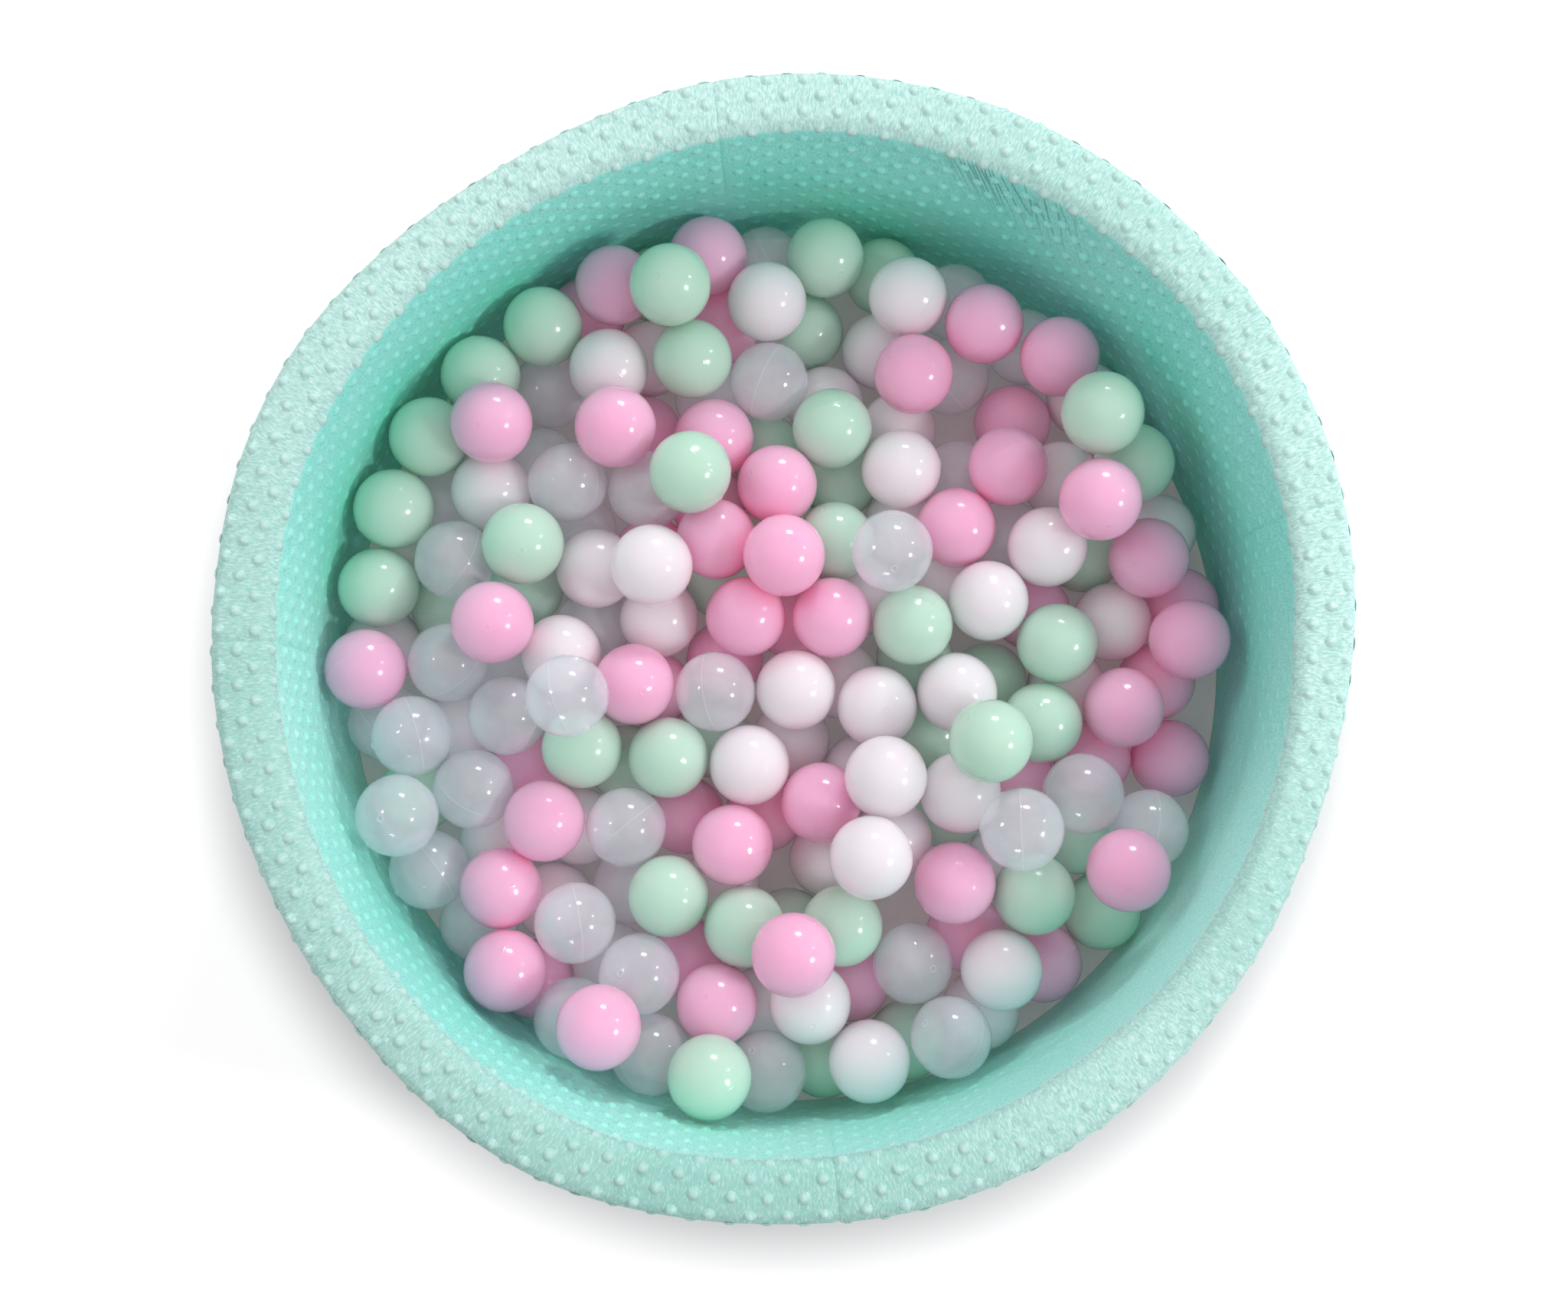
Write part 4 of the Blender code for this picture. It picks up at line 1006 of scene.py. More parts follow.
class DotTree(GeometryTree):
    """Sets a raised dot of plush on each point of a lattice, and joins the dots to their cloth."""

    flat_share: float = 0.32
    width_span: tuple[float, float] = (0.92, 1.06)
    faded: Ramp = Ramp(0.2, 0.65, 0.1)

    def __init__(self) -> None:
        """Builds the tree: a bell over a disc, swollen as each lattice point says."""
        sizes = dict.fromkeys(("Radius", "Height", "Sink"), "Float")
        super().__init__("plush_dots", {"Cloth": "Object", **sizes, "Sides": "Int", "Rings": "Int"})
        dots = self.add("GeometryNodeInstanceOnPoints", {
            "Points": self.given["Geometry"], "Instance": self.dot(),
            "Rotation": self.turned_to(self.vector("along"), self.vector("out")), "Scale": self.size(),
        })
        real = self.add("GeometryNodeRealizeInstances", {"Geometry": dots})
        shifted = self.add(
            "ShaderNodeVectorMath", {0: self.vector("nap"), 1: self.vector("local")}, operation="ADD"
        )
        napped = self.stored(real, "nap", shifted, "FLOAT_VECTOR")
        # The tip share, less on flattened dots, carries the plush's painted light on dot tops and painted shade
        # on their flanks.
        shown = self.math("MULTIPLY", self.named("tip"), self.ranged(self.named("swell"), self.faded))
        bent = self.add("GeometryNodeSetPosition", {
            "Geometry": self.stored(napped, "tip", shown), "Offset": self.drop(),
        })
        cloth = self.add("GeometryNodeObjectInfo", {"Object": self.given["Cloth"]})
        joined = self.add("GeometryNodeJoinGeometry")
        self.tree.links.new(bent.outputs[0], joined.inputs[0])
        self.tree.links.new(cloth.outputs["Geometry"], joined.inputs[0])
        self.close(joined)

    def dot(self) -> Node:
        """One dot: a bell that starts below the cloth, and says how far up its tip each point is."""
        given = self.given
        cone = self.add("GeometryNodeMeshCone", {
            "Vertices": given["Sides"], "Side Segments": given["Rings"], "Radius Top": 0.0,
            "Radius Bottom": given["Radius"], "Depth": given["Height"],
        }, fill_type="NONE")
        place = self.add("ShaderNodeSeparateXYZ", {0: self.add("GeometryNodeInputPosition")}).outputs
        flat = self.add("ShaderNodeCombineXYZ", {"X": place["X"], "Y": place["Y"]})
        share = self.math("DIVIDE", self.length(flat), given["Radius"])
        bell = self.ranged(share, Ramp(self.flat_share, 1.0, 1.0, 0.0), eased=True)
        height = self.math("SUBTRACT", self.math("MULTIPLY", bell, given["Height"]), given["Sink"])
        raised = self.add("ShaderNodeCombineXYZ", {"X": place["X"], "Y": place["Y"], "Z": height})
        shaped = self.add("GeometryNodeSetPosition", {"Geometry": cone.outputs["Mesh"], "Position": raised})
        local = self.stored(self.stored(shaped, "tip", bell), "local", flat, "FLOAT_VECTOR")
        return self.add("GeometryNodeSetShadeSmooth", {"Geometry": local})

    def size(self) -> Node:
        """How wide and how high each dot is."""
        width = self.varied(self.width_span)
        return self.add("ShaderNodeCombineXYZ", {"X": width, "Y": width, "Z": self.named("swell")})

    def drop(self) -> Node:
        """How far each point of a dot drops to follow the rounded corners of the rim."""
        across = self.add("ShaderNodeSeparateXYZ", {0: self.vector("local")}).outputs["Y"]
        drop = self.math("MULTIPLY", self.math("MULTIPLY", across, across), self.named("bend"))
        return self.scaled(self.vector("out"), drop)


class RowTree(GeometryTree):
    """Repeats a shape along a path at an even pitch: a row of stitches or of zip teeth."""

    size_span: tuple[float, float] = (0.97, 1.03)

    def __init__(self) -> None:
        """Builds the tree: the path resampled, and the shape set along it, X forward and Z upward."""
        super().__init__("row_along_path", {"Shape": "Object", "Pitch": "Float", "Upward": "Vector"})
        given = self.given
        curve = self.add("GeometryNodeMeshToCurve", {"Mesh": given["Geometry"]})
        even = {"Curve": curve, "Length": given["Pitch"]}
        spaced = self.add("GeometryNodeResampleCurve", even, mode="LENGTH")
        shape = self.add("GeometryNodeObjectInfo", {"Object": given["Shape"]}).outputs["Geometry"]
        turn = self.turned_to(self.add("GeometryNodeInputTangent"), given["Upward"])
        self.close(self.add("GeometryNodeInstanceOnPoints", {
            "Points": spaced, "Instance": shape, "Rotation": turn, "Scale": self.varied(self.size_span),
        }))

    def repeat(
        self, path: Object, name: str, shape: Object, pitch: float, seed: int, material: Material
    ) -> Mesh:
        """Repeats a shape along a path, and removes both helpers.

        Args:
            path: The path.
            name: The mesh's name.
            shape: The shape.
            pitch: How far apart the shapes stand.
            seed: The seed of their sizes.
            material: Their material.

        Returns:
            The row's mesh.
        """
        mesh = self.run(path, name, {
            "Shape": shape, "Pitch": pitch, "Upward": UPWARD, "Seed": seed, "Material": material,
        })
        discard(shape)
        return mesh


@dataclass
class Dresser:
    """Hands finished meshes over as pieces: each rides a body, stands for its node and takes its slot's
    materials.
    """

    frame: dict
    finishes: dict[str, list[Material]]

    def body_of(self, node: str) -> str:
        """The body that a node rides on."""
        return self.frame["nodes"][node]["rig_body"]

    def piece(self, name: str, mesh: Mesh, node: str, slot: str) -> Object:
        """Makes a piece that stands for a node.

        Args:
            name: The piece's name.
            mesh: Its finished mesh.
            node: The node that it stands for.
            slot: The record's material slot, which also says its materials.

        Returns:
            The piece.
        """
        if not mesh.materials:
            numbers = [polygon.material_index for polygon in mesh.polygons]
            for material in self.finishes[slot]:
                mesh.materials.append(material)
            mesh.polygons.foreach_set("material_index", numbers)
        made = linked(name, mesh)
        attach(made, self.body_of(node))
        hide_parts(node)
        log.info("%s: %d faces, for %s", name, len(mesh.polygons), node)
        return made

    def extra(self, name: str, mesh: Mesh, body: str) -> None:
        """Makes a piece that no node holds, such as a row of stitches.

        Args:
            name: The piece's name.
            mesh: Its finished mesh, with its material.
            body: The body that it rides on.
        """
        made = linked(name, mesh)
        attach(made, body)
        log.info("%s: %d faces", name, len(mesh.polygons))


def turn_from(angles: np.ndarray, origin: float, full: float) -> np.ndarray:
    """How far angles lie from one of them, by the shorter way round a full turn."""
    return (angles - origin + full / 2) % full - full / 2


@dataclass(frozen=True)
class Stretch:
    """A stretch of the ring where the wall leans out or in, or where the plush takes painted shade or painted
    light.
    """

    angle_deg: float
    amount: float
    spread_deg: float

    def at(self, theta: np.ndarray) -> np.ndarray:
        """Its amount at some angles about Z, which fades to both sides."""
        away = turn_from(np.degrees(theta), self.angle_deg, 360)
        return self.amount * np.exp(-(away / self.spread_deg) ** 2)


@dataclass(frozen=True)
class Swell:
    """A soft unevenness: two waves, each by its turns round the pit, run along the section and phase."""

    height: float
    first: tuple[float, float, float]
    second: tuple[float, float, float] = (0.0, 0.0, math.pi / 2)

    def at(self, theta: np.ndarray, s: np.ndarray) -> np.ndarray:
        """How far the cover stands out at some places."""
        first, second = (np.sin(a * theta + b * s + phase) for a, b, phase in (self.first, self.second))
        return self.height * first * second


@dataclass(frozen=True)
class CoverForm:
    """The shape of the stretched cover: its section, its slight oval, its seams and its unevenness.

    A place on it is an angle about Z and a length s along the section, from the foot of the inner
    wall over the rim to the foot of the outer wall.
    """

    outer_radius: float
    inner_radius: float
    height: float
    foot: float
    rounding: float = 11 * MM
    crown: float = 1.2 * MM
    seams_deg: tuple[float, ...] = (13.5, 97.4, 180.7, 275.4)
    seam_depth: float = 1.1 * MM
    seam_width: float = 1.9 * MM
    seam_sharpness: float = 1.2
    leans: tuple[Stretch, ...] = (
        Stretch(40.0, 14 * MM, 34.0), Stretch(82.0, 7 * MM, 22.0), Stretch(120.0, -6 * MM, 16.0),
        Stretch(158.0, 4 * MM, 18.0), Stretch(204.0, -4 * MM, 20.0), Stretch(246.0, 8 * MM, 20.0),
        Stretch(290.0, 2 * MM, 16.0), Stretch(336.0, -11 * MM, 22.0),
    )
    lean_from: float = 170 * MM
    swells: tuple[Swell, ...] = (
        Swell(0.9 * MM, (3.0, 0.0, 1.3), (0.0, 9.0, 0.4 + math.pi / 2)), Swell(0.7 * MM, (8.0, 12.0, 2.1)),
        Swell(0.45 * MM, (17.0, -21.0, 0.7), (5.0, 0.0, 1.9)),
    )
    held_back: float = 1.6 * MM
    held_to: float = 205 * MM
    held_ease: float = 30 * MM
    plain_below: float = 50 * MM
    plain_ease: float = 45 * MM
    gathered_deg: float = 64.0
    gathered_spread_deg: float = 8.5
    gathered_drift_deg: float = 10.0 / (110 * MM)
    gathered_reach: float = 85 * MM
    gathered_ease: float = 9 * MM

    @property
    def inner_length(self) -> float:
        """Length of the straight inner wall along the section."""
        return self.height - self.rounding - self.foot

    @property
    def corner_length(self) -> float:
        """Length of one rounded corner of the rim."""
        return math.pi / 2 * self.rounding

    @property
    def top_length(self) -> float:
        """Length of the flat top of the rim."""
        return self.outer_radius - self.inner_radius - 2 * self.rounding

    @property
    def middle_radius(self) -> float:
        """Radius of the middle of the rim."""
        return (self.outer_radius + self.inner_radius) / 2

    def length(self, hem: float) -> float:
        """Length of the whole section, from the inner foot to the hem's height on the outer wall."""
        outer = self.height - self.rounding - hem
        return self.inner_length + 2 * self.corner_length + self.top_length + outer

    def section(self, s: np.ndarray) -> tuple[np.ndarray, np.ndarray, np.ndarray, np.ndarray]:
        """The plain section.

        Args:
            s: Lengths along it.

        Returns:
            The radius, the height, and the outward direction's two parts.
        """
        first = self.inner_length
        second = first + self.corner_length
        third = second + self.top_length
        fourth = third + self.corner_length
        upper = self.height - self.rounding
        inside = np.pi - (s - first) / self.rounding
        outside = np.pi / 2 - (s - third) / self.rounding
        spans = [s < first, s < second, s < third, s < fourth]
        turn = np.select(spans, [np.pi, inside, np.pi / 2, outside], 0.0)
        inner, outer = self.inner_radius + self.rounding, self.outer_radius - self.rounding
        centre = np.select([s < second, s < third], [inner, inner + (s - second)], outer)
        base = np.select([s < first, s < fourth], [self.foot + s, upper], upper - (s - fourth))
        out, up = np.cos(turn), np.sin(turn)
        return centre + self.rounding * out, base + self.rounding * up, out, up

    def seam_dip(self, theta: np.ndarray) -> np.ndarray:
        """How deep the cover is drawn in by the nearest seam, at some angles."""
        dip = np.zeros_like(theta)
        for seam in self.seams_deg:
            away = np.abs(turn_from(theta, math.radians(seam), FULL_TURN) * self.outer_radius / self.seam_width)
            dip += self.seam_depth * np.exp(-away ** self.seam_sharpness)
        return dip

    def gathers(self, theta: np.ndarray, s: np.ndarray) -> np.ndarray:
        """How strongly the cover is gathered into slanting creases, under the rim at the back right.

        Args:
            theta: Angles about Z.
            s: Lengths along the section.

        Returns:
            A share from 0 to 1.
        """
        below = self.inner_length - s
        away = np.degrees(theta) + self.gathered_drift_deg * below - self.gathered_deg
        across = np.exp(-(away / self.gathered_spread_deg) ** 4)
        upper = smoothstep((below + self.gathered_ease) / self.gathered_ease)
        return across * smoothstep(1.0 - below / self.gathered_reach) * upper

    def lean(self, theta: np.ndarray, radius: np.ndarray, height: np.ndarray) -> np.ndarray:
        """How far the upper part of the wall stands outwards of its plain ring.

        Args:
            theta: Angles about Z.
            radius: Radii of the plain section.
            height: Heights of the plain section.

        Returns:
            The distances. The inner face never leans over the balls.
        """
        reach = sum(lean.at(theta) for lean in self.leans)
        outwards = np.clip((radius - self.inner_radius) / (self.outer_radius - self.inner_radius), 0, 1)
        reach = np.where(reach < 0, reach * outwards, reach)
        return reach * smoothstep((height - self.lean_from) / (self.height - self.lean_from))

    def surface(self, theta: np.ndarray, s: np.ndarray, inset: float = 0.0) -> np.ndarray:
        """Places on the cover.

        Args:
            theta: Angles about Z.
            s: Lengths along the section, in the same shape.
            inset: How far under the cover's face the place is.

        Returns:
            The points, with one more axis for x, y and z.
        """
        radius, height, out, up = self.section(s)
        middle = self.inner_length + self.corner_length + self.top_length / 2
        across = np.clip((s - middle) / (self.top_length + self.rounding), -0.5, 0.5)
        crown = self.crown * np.cos(across * np.pi)
        lift = crown + sum(swell.at(theta, s) for swell in self.swells) - self.seam_dip(theta)
        free = smoothstep((height - self.held_to + self.held_ease) / self.held_ease)
        tight = smoothstep((height - self.plain_below) / self.plain_ease)
        lift = np.where(out < 0, lift * free - self.held_back * (1 - free), lift * tight) - inset
        radial = radius + out * lift + self.lean(theta, radius, height)
        return np.stack([radial * np.cos(theta), radial * np.sin(theta), height + up * lift], axis=-1)


@dataclass
class PlushCover:
    """The four wall panels of dotted plush."""

    form: CoverForm
    hems: dict[str, float]
    thickness: float = 2.4 * MM
    coarse_step: float = 6 * MM
    fine_step: float = 2 * MM
    corner_margin: float = 1 * MM
    dot_radius: float = 5.9 * MM
    dot_height: float = 3.3 * MM
    dot_sink: float = 0.45 * MM
    dot_sides: int = 12
    dot_rings: int = 4
    dot_jitter: float = 0.6 * MM
    least_swell: float = 0.72
    row_pitch: float = 14.0 * MM
    row_shift: float = 2.6 * MM
    edge_room: float = 6 * MM
    foot_room: float = 9 * MM
    probe: float = 0.0001
    bend_ease: float = 4 * MM
    pale_wall: float = 0.22
    back_shade: float = 6 * MM
    back_slope: float = 2.5
    back_start: float = 0.3
    wall_shade_drop: float = 6 * MM
    wall_shade_ease: float = 0.6
    # Painted shade on the rim's nap, by angle.
    painted_nap_shade: tuple[Stretch, ...] = (
        Stretch(52.0, 0.35, 26.0), Stretch(262.0, 1.0, 36.0), Stretch(333.0, 0.65, 16.0),
        Stretch(190.0, 0.7, 30.0),
    )
    # Painted light, with more sheen, on the walls by angle.
    sheen_and_painted_light: tuple[Stretch, ...] = (
        Stretch(190.0, 0.8, 20.0), Stretch(262.0, 0.7, 26.0), Stretch(322.0, 1.0, 32.0),
    )
    held_swell: float = 0.4
    held_ease: float = 20 * MM
    wall_swell: float = 0.8
    outer_swell: float = 0.6
    flat_deg: tuple[float, float] = (285.0, 352.0)
    flat_ease_deg: float = 14.0
    flat_depth: float = 90 * MM
    flat_ease: float = 60 * MM
    flat_loss: float = 0.78
    edge_kept: float = 0.75
    edge_kept_from: float = 0.35
    edge_kept_ease: float = 0.4
    smooth_wall_deg: tuple[float, float] = (330.0, 52.0)
    smooth_wall_loss: float = 0.75
    names: tuple[str, ...] = (
        "cover_panel_back_right", "cover_panel_back_left", "cover_panel_front_left", "cover_panel_front_right",
    )

    def bend(self, s: np.ndarray) -> np.ndarray:
        """How fast a dot drops from its middle to follow the rounded corners.

        Args:
            s: Lengths along the section.

        Returns:
            The negative factors of the squared distance from the dot's middle.
        """
        form = self.form
        half = form.corner_length / 2
        inner = np.abs(s - form.inner_length - half)
        outer = np.abs(s - form.inner_length - 3 * half - form.top_length)
        near = half + self.bend_ease - np.minimum(inner, outer)
        return -0.5 / form.rounding * smoothstep(near / (2 * self.bend_ease))

    def painted_wall_shade(self, theta: np.ndarray, s: np.ndarray) -> np.ndarray:
        """How much of the walls' painted shade shows.

        Args:
            theta: Angles about Z.
            s: Lengths along the section.

        Returns:
            A share: all of it on the inner wall, whose painted shade climbs over the rim's edge at the
            back, and little outside.
        """
        form = self.form
        climb = self.back_shade * smoothstep(np.sin(theta) * self.back_slope + self.back_start)
        past = s - climb - form.inner_length + self.wall_shade_drop
        outer_from = form.inner_length + form.corner_length + form.top_length
        outer = self.pale_wall * smoothstep((s - outer_from) / form.corner_length)
        return 1 - smoothstep(past / (form.corner_length * self.wall_shade_ease)) + outer

    def columns(self, start: float, end: float) -> np.ndarray:
        """Angles of a panel's columns, closer at its seams.

        Args:
            start: Angle of its first seam.
            end: Angle of its second seam.

        Returns:
            The angles.
        """
        radius, seam = self.form.outer_radius, self.form.seam_width
        angles = [start]
        while angles[-1] < end:
            edge = min(angles[-1] - start, end - angles[-1]) * radius
            angles.append(angles[-1] + (seam / 2 if edge < 3 * seam else self.coarse_step) / radius)
        angles[-1] = end
        return np.array(angles)

    def rows(self, hem: float) -> np.ndarray:
        """Places of a panel's rows, closer over the corners of the rim.

        Args:
            hem: Height of its lower edge.

        Returns:
            Their lengths along the section.
        """
        form = self.form
        length = form.length(hem)
        corners = (form.inner_length, form.inner_length + form.corner_length + form.top_length)
        rows = [0.0]
        while rows[-1] < length:
            past = [rows[-1] - corner for corner in corners]
            fine = any(-self.corner_margin < away < form.corner_length for away in past)
            rows.append(rows[-1] + (self.fine_step if fine else self.coarse_step))
        rows[-1] = length
        return np.array(rows)

    def store_nap(self, mesh: Mesh, theta: np.ndarray, s: np.ndarray, sides: int) -> None:
        """Stores how the nap lies at each point, and the plush's painted shade and painted light by angle.

        Args:
            mesh: The cloth or the lattice.
            theta: Angles of its points about Z.
            s: Their lengths along the section.
            sides: How many times the points come, 2 for a cloth with an outer and an inner side.
        """
        nap = np.column_stack([theta * self.form.middle_radius, s, np.zeros(len(s))])
        store(mesh, "nap", np.tile(nap, (sides, 1)))
        for label, strokes in (("painted_nap_shade", self.painted_nap_shade), ("sheen_and_painted_light", self.sheen_and_painted_light)):
            store(mesh, label, np.tile(np.clip(sum(stroke.at(theta) for stroke in strokes), 0, 1), sides))

    def cloth(self, name: str, start: float, end: float, hem: float) -> Object:
        """Builds a panel's cloth, without its dots.

        Args:
            name: The panel's name.
            start: Angle of its first seam.
            end: Angle of its second seam.
            hem: Height of its lower edge.

        Returns:
            A helper object with the closed sheet and its attributes.
        """
        theta, s = np.meshgrid(self.columns(start, end), self.rows(hem))
        mesh = sheet_mesh(name, self.form.surface(theta, s), self.form.surface(theta, s, self.thickness))
        theta, s = theta.ravel(), s.ravel()
        self.store_nap(mesh, theta, s, 2)
        store(mesh, "painted_wall_shade", np.tile(self.painted_wall_shade(theta, s), 2))
        # The crease share feeds the plush's bump and its painted shade along the creases.
        store(mesh, "crease", np.tile(self.form.gathers(theta, s), 2))
        store(mesh, "tip", np.zeros(2 * len(s)))
        mesh.set_sharp_from_angle(angle=SHARP_ANGLE)
        return linked(f"{name}_cloth", mesh)

    def swell(self, theta: np.ndarray, s: np.ndarray) -> np.ndarray:
        """How high each dot stands: pressed by the balls, and brushed nearly flat over the front right rim.

        Args:
            theta: Angles of the dots about Z.
            s: Their lengths along the section.

        Returns:
            Their heights, as shares of a full dot.
        """
        form = self.form
        turned = np.degrees(theta) % 360
        flat_from, flat_to = self.flat_deg
        within = smoothstep((turned - flat_from) / self.flat_ease_deg)
        within *= smoothstep((flat_to - turned) / self.flat_ease_deg)
        rim = smoothstep((s - form.inner_length + self.flat_depth) / self.flat_ease)
        top = s - (form.inner_length + form.corner_length)
        outside = smoothstep((top - form.top_length) / form.corner_length)
        kept = (top - self.edge_kept_from * form.top_length) / (self.edge_kept_ease * form.top_length)
        flat = self.flat_loss * within * rim * (1 - self.edge_kept * smoothstep(kept))
        free = smoothstep((form.foot + s - form.held_to + self.held_ease) / self.held_ease)
        inside = smoothstep((s - form.inner_length) / form.corner_length)
        middle, spread = self.smooth_wall_deg
        away = turn_from(turned, middle, 360)
        wall = self.wall_swell * (1 - self.smooth_wall_loss * np.exp(-(away / spread) ** 4))
        held = np.minimum(self.held_swell + (1 - self.held_swell) * free, wall + (1 - wall) * inside)
        return held * (1 - flat) * (1 - (1 - self.outer_swell) * outside)

    def lattice(self, name: str, start: float, end: float, hem: float) -> Object:
        """Builds the points that a panel's dots stand on.

        Args:
            name: The panel's name.
            start: Angle of its first seam.
            end: Angle of its second seam.
            hem: Height of its lower edge.

        Returns:
            A helper object with the points and their attributes.
        """
        form = self.form
        pitch, room = self.row_pitch, self.edge_room / form.inner_radius
        middle = form.inner_length + form.corner_length + form.top_length / 2 + self.row_shift
        first_row = middle - pitch * int((middle - self.foot_room) / pitch)
        places = []
        for number, row in enumerate(np.arange(first_row, form.length(hem) - self.edge_room, pitch)):
            first = (start + room) + number % 2 * pitch / form.middle_radius
            places += [(turn, row) for turn in np.arange(first, end - room, 2 * pitch / form.middle_radius)]
        rng = np.random.default_rng(len(places))
        jitter = rng.normal(0, self.dot_jitter, (len(places), 2))
        theta = np.array([place[0] for place in places]) + jitter[:, 0] / form.middle_radius
        s = np.array([place[1] for place in places]) + jitter[:, 1]
        points = form.surface(theta, s)
        along = form.surface(theta + self.probe, s) - points
        out = np.cross(form.surface(theta, s + self.probe) - points, along)
        mesh = bpy.data.meshes.new(f"{name}_lattice")
        mesh.from_pydata(points.tolist(), [], [])
        store(mesh, "out", out / np.linalg.norm(out, axis=1)[:, None])
        store(mesh, "along", along / np.linalg.norm(along, axis=1)[:, None])
        self.store_nap(mesh, theta, s, 1)
        store(mesh, "painted_wall_shade", self.painted_wall_shade(theta, s + self.dot_radius))
        store(mesh, "bend", self.bend(s))
        store(mesh, "swell", self.swell(theta, s) * rng.uniform(self.least_swell, 1.0, len(s)))
        return linked(f"{name}_lattice", mesh)

    def build(self, dresser: Dresser, foam: list[Object]) -> list[Object]:
        """Builds and dresses the four panels.

        Args:
            dresser: Who makes the pieces.
            foam: What the panels are stretched over; not used.

        Returns:
            The panels.
        """
        tree = DotTree()
        plush, = dresser.finishes["plush"]
        panels = []
        seams = [math.radians(seam) for seam in self.form.seams_deg]
        for index, name in enumerate(self.names):
            start = seams[index]
            sweep = (seams[(index + 1) % len(seams)] - seams[index]) % FULL_TURN
            hem = self.hems[name]
            cloth = self.cloth(name, start, start + sweep, hem)
            mesh = tree.run(self.lattice(name, start, start + sweep, hem), f"{name}_plush", {
                "Cloth": cloth, "Radius": self.dot_radius, "Height": self.dot_height, "Sink": self.dot_sink,
                "Sides": self.dot_sides, "Rings": self.dot_rings, "Seed": index, "Material": plush,
            })
            discard(cloth)
            panel = dresser.piece(f"{name}_plush", mesh, name, "plush")
            self.form.length(hem)
            panels.append(panel)
        return panels


@dataclass
class FoamCore:
    """The foam inside the cover: two halves of the ring, and the base."""

    form: CoverForm
    bottom: float
    joint_gap: float = 0.4 * MM
    cover_room: float = 2.9 * MM
    steps: int = 90
    rows: int = 60
    base_rounding: float = 2.5 * MM
    base_steps: tuple[int, int] = (120, 4)
    fill: float = 0.95

    def half(self, name: str, start: float) -> Mesh:
        """Builds one half of the ring, which follows the cover's form.

        Args:
            name: The mesh's name.
            start: Angle at which it starts.

        Returns:
            The closed mesh.
        """
        form = self.form
        s = np.linspace(0, form.length(self.bottom), self.rows)
        gap = self.joint_gap / form.inner_radius
        turns = start + math.pi * np.arange(self.steps + 1) / self.steps
        turns = np.clip(turns, start + gap, start + math.pi - gap)
        theta, along = np.meshgrid(turns, s, indexing="ij")
        foot = turned_points(np.array([(form.inner_radius + self.cover_room, self.bottom)]), turns)
        return bar_mesh(name, np.concatenate([foot, form.surface(theta, along, self.cover_room)], axis=1))

    def build(self, dresser: Dresser) -> list[Object]:
        """Builds and dresses the foam.

        Args:
            dresser: Who makes the pieces.

        Returns:
            The two halves and the base.
        """
        pieces = []
        for node, start in (("wall_foam_back", 0.0), ("wall_foam_front", math.pi)):
            pieces.append(dresser.piece(f"{node}_ring", self.half(node, start), node, "foam"))
        low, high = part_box("base_foam")
        base = rounded_disc("base_foam_disc", high.x, low.z, high.z, self.base_rounding, self.base_steps)
        pieces.append(dresser.piece("base_foam_disc", base, "base_foam", "foam"))
        return pieces


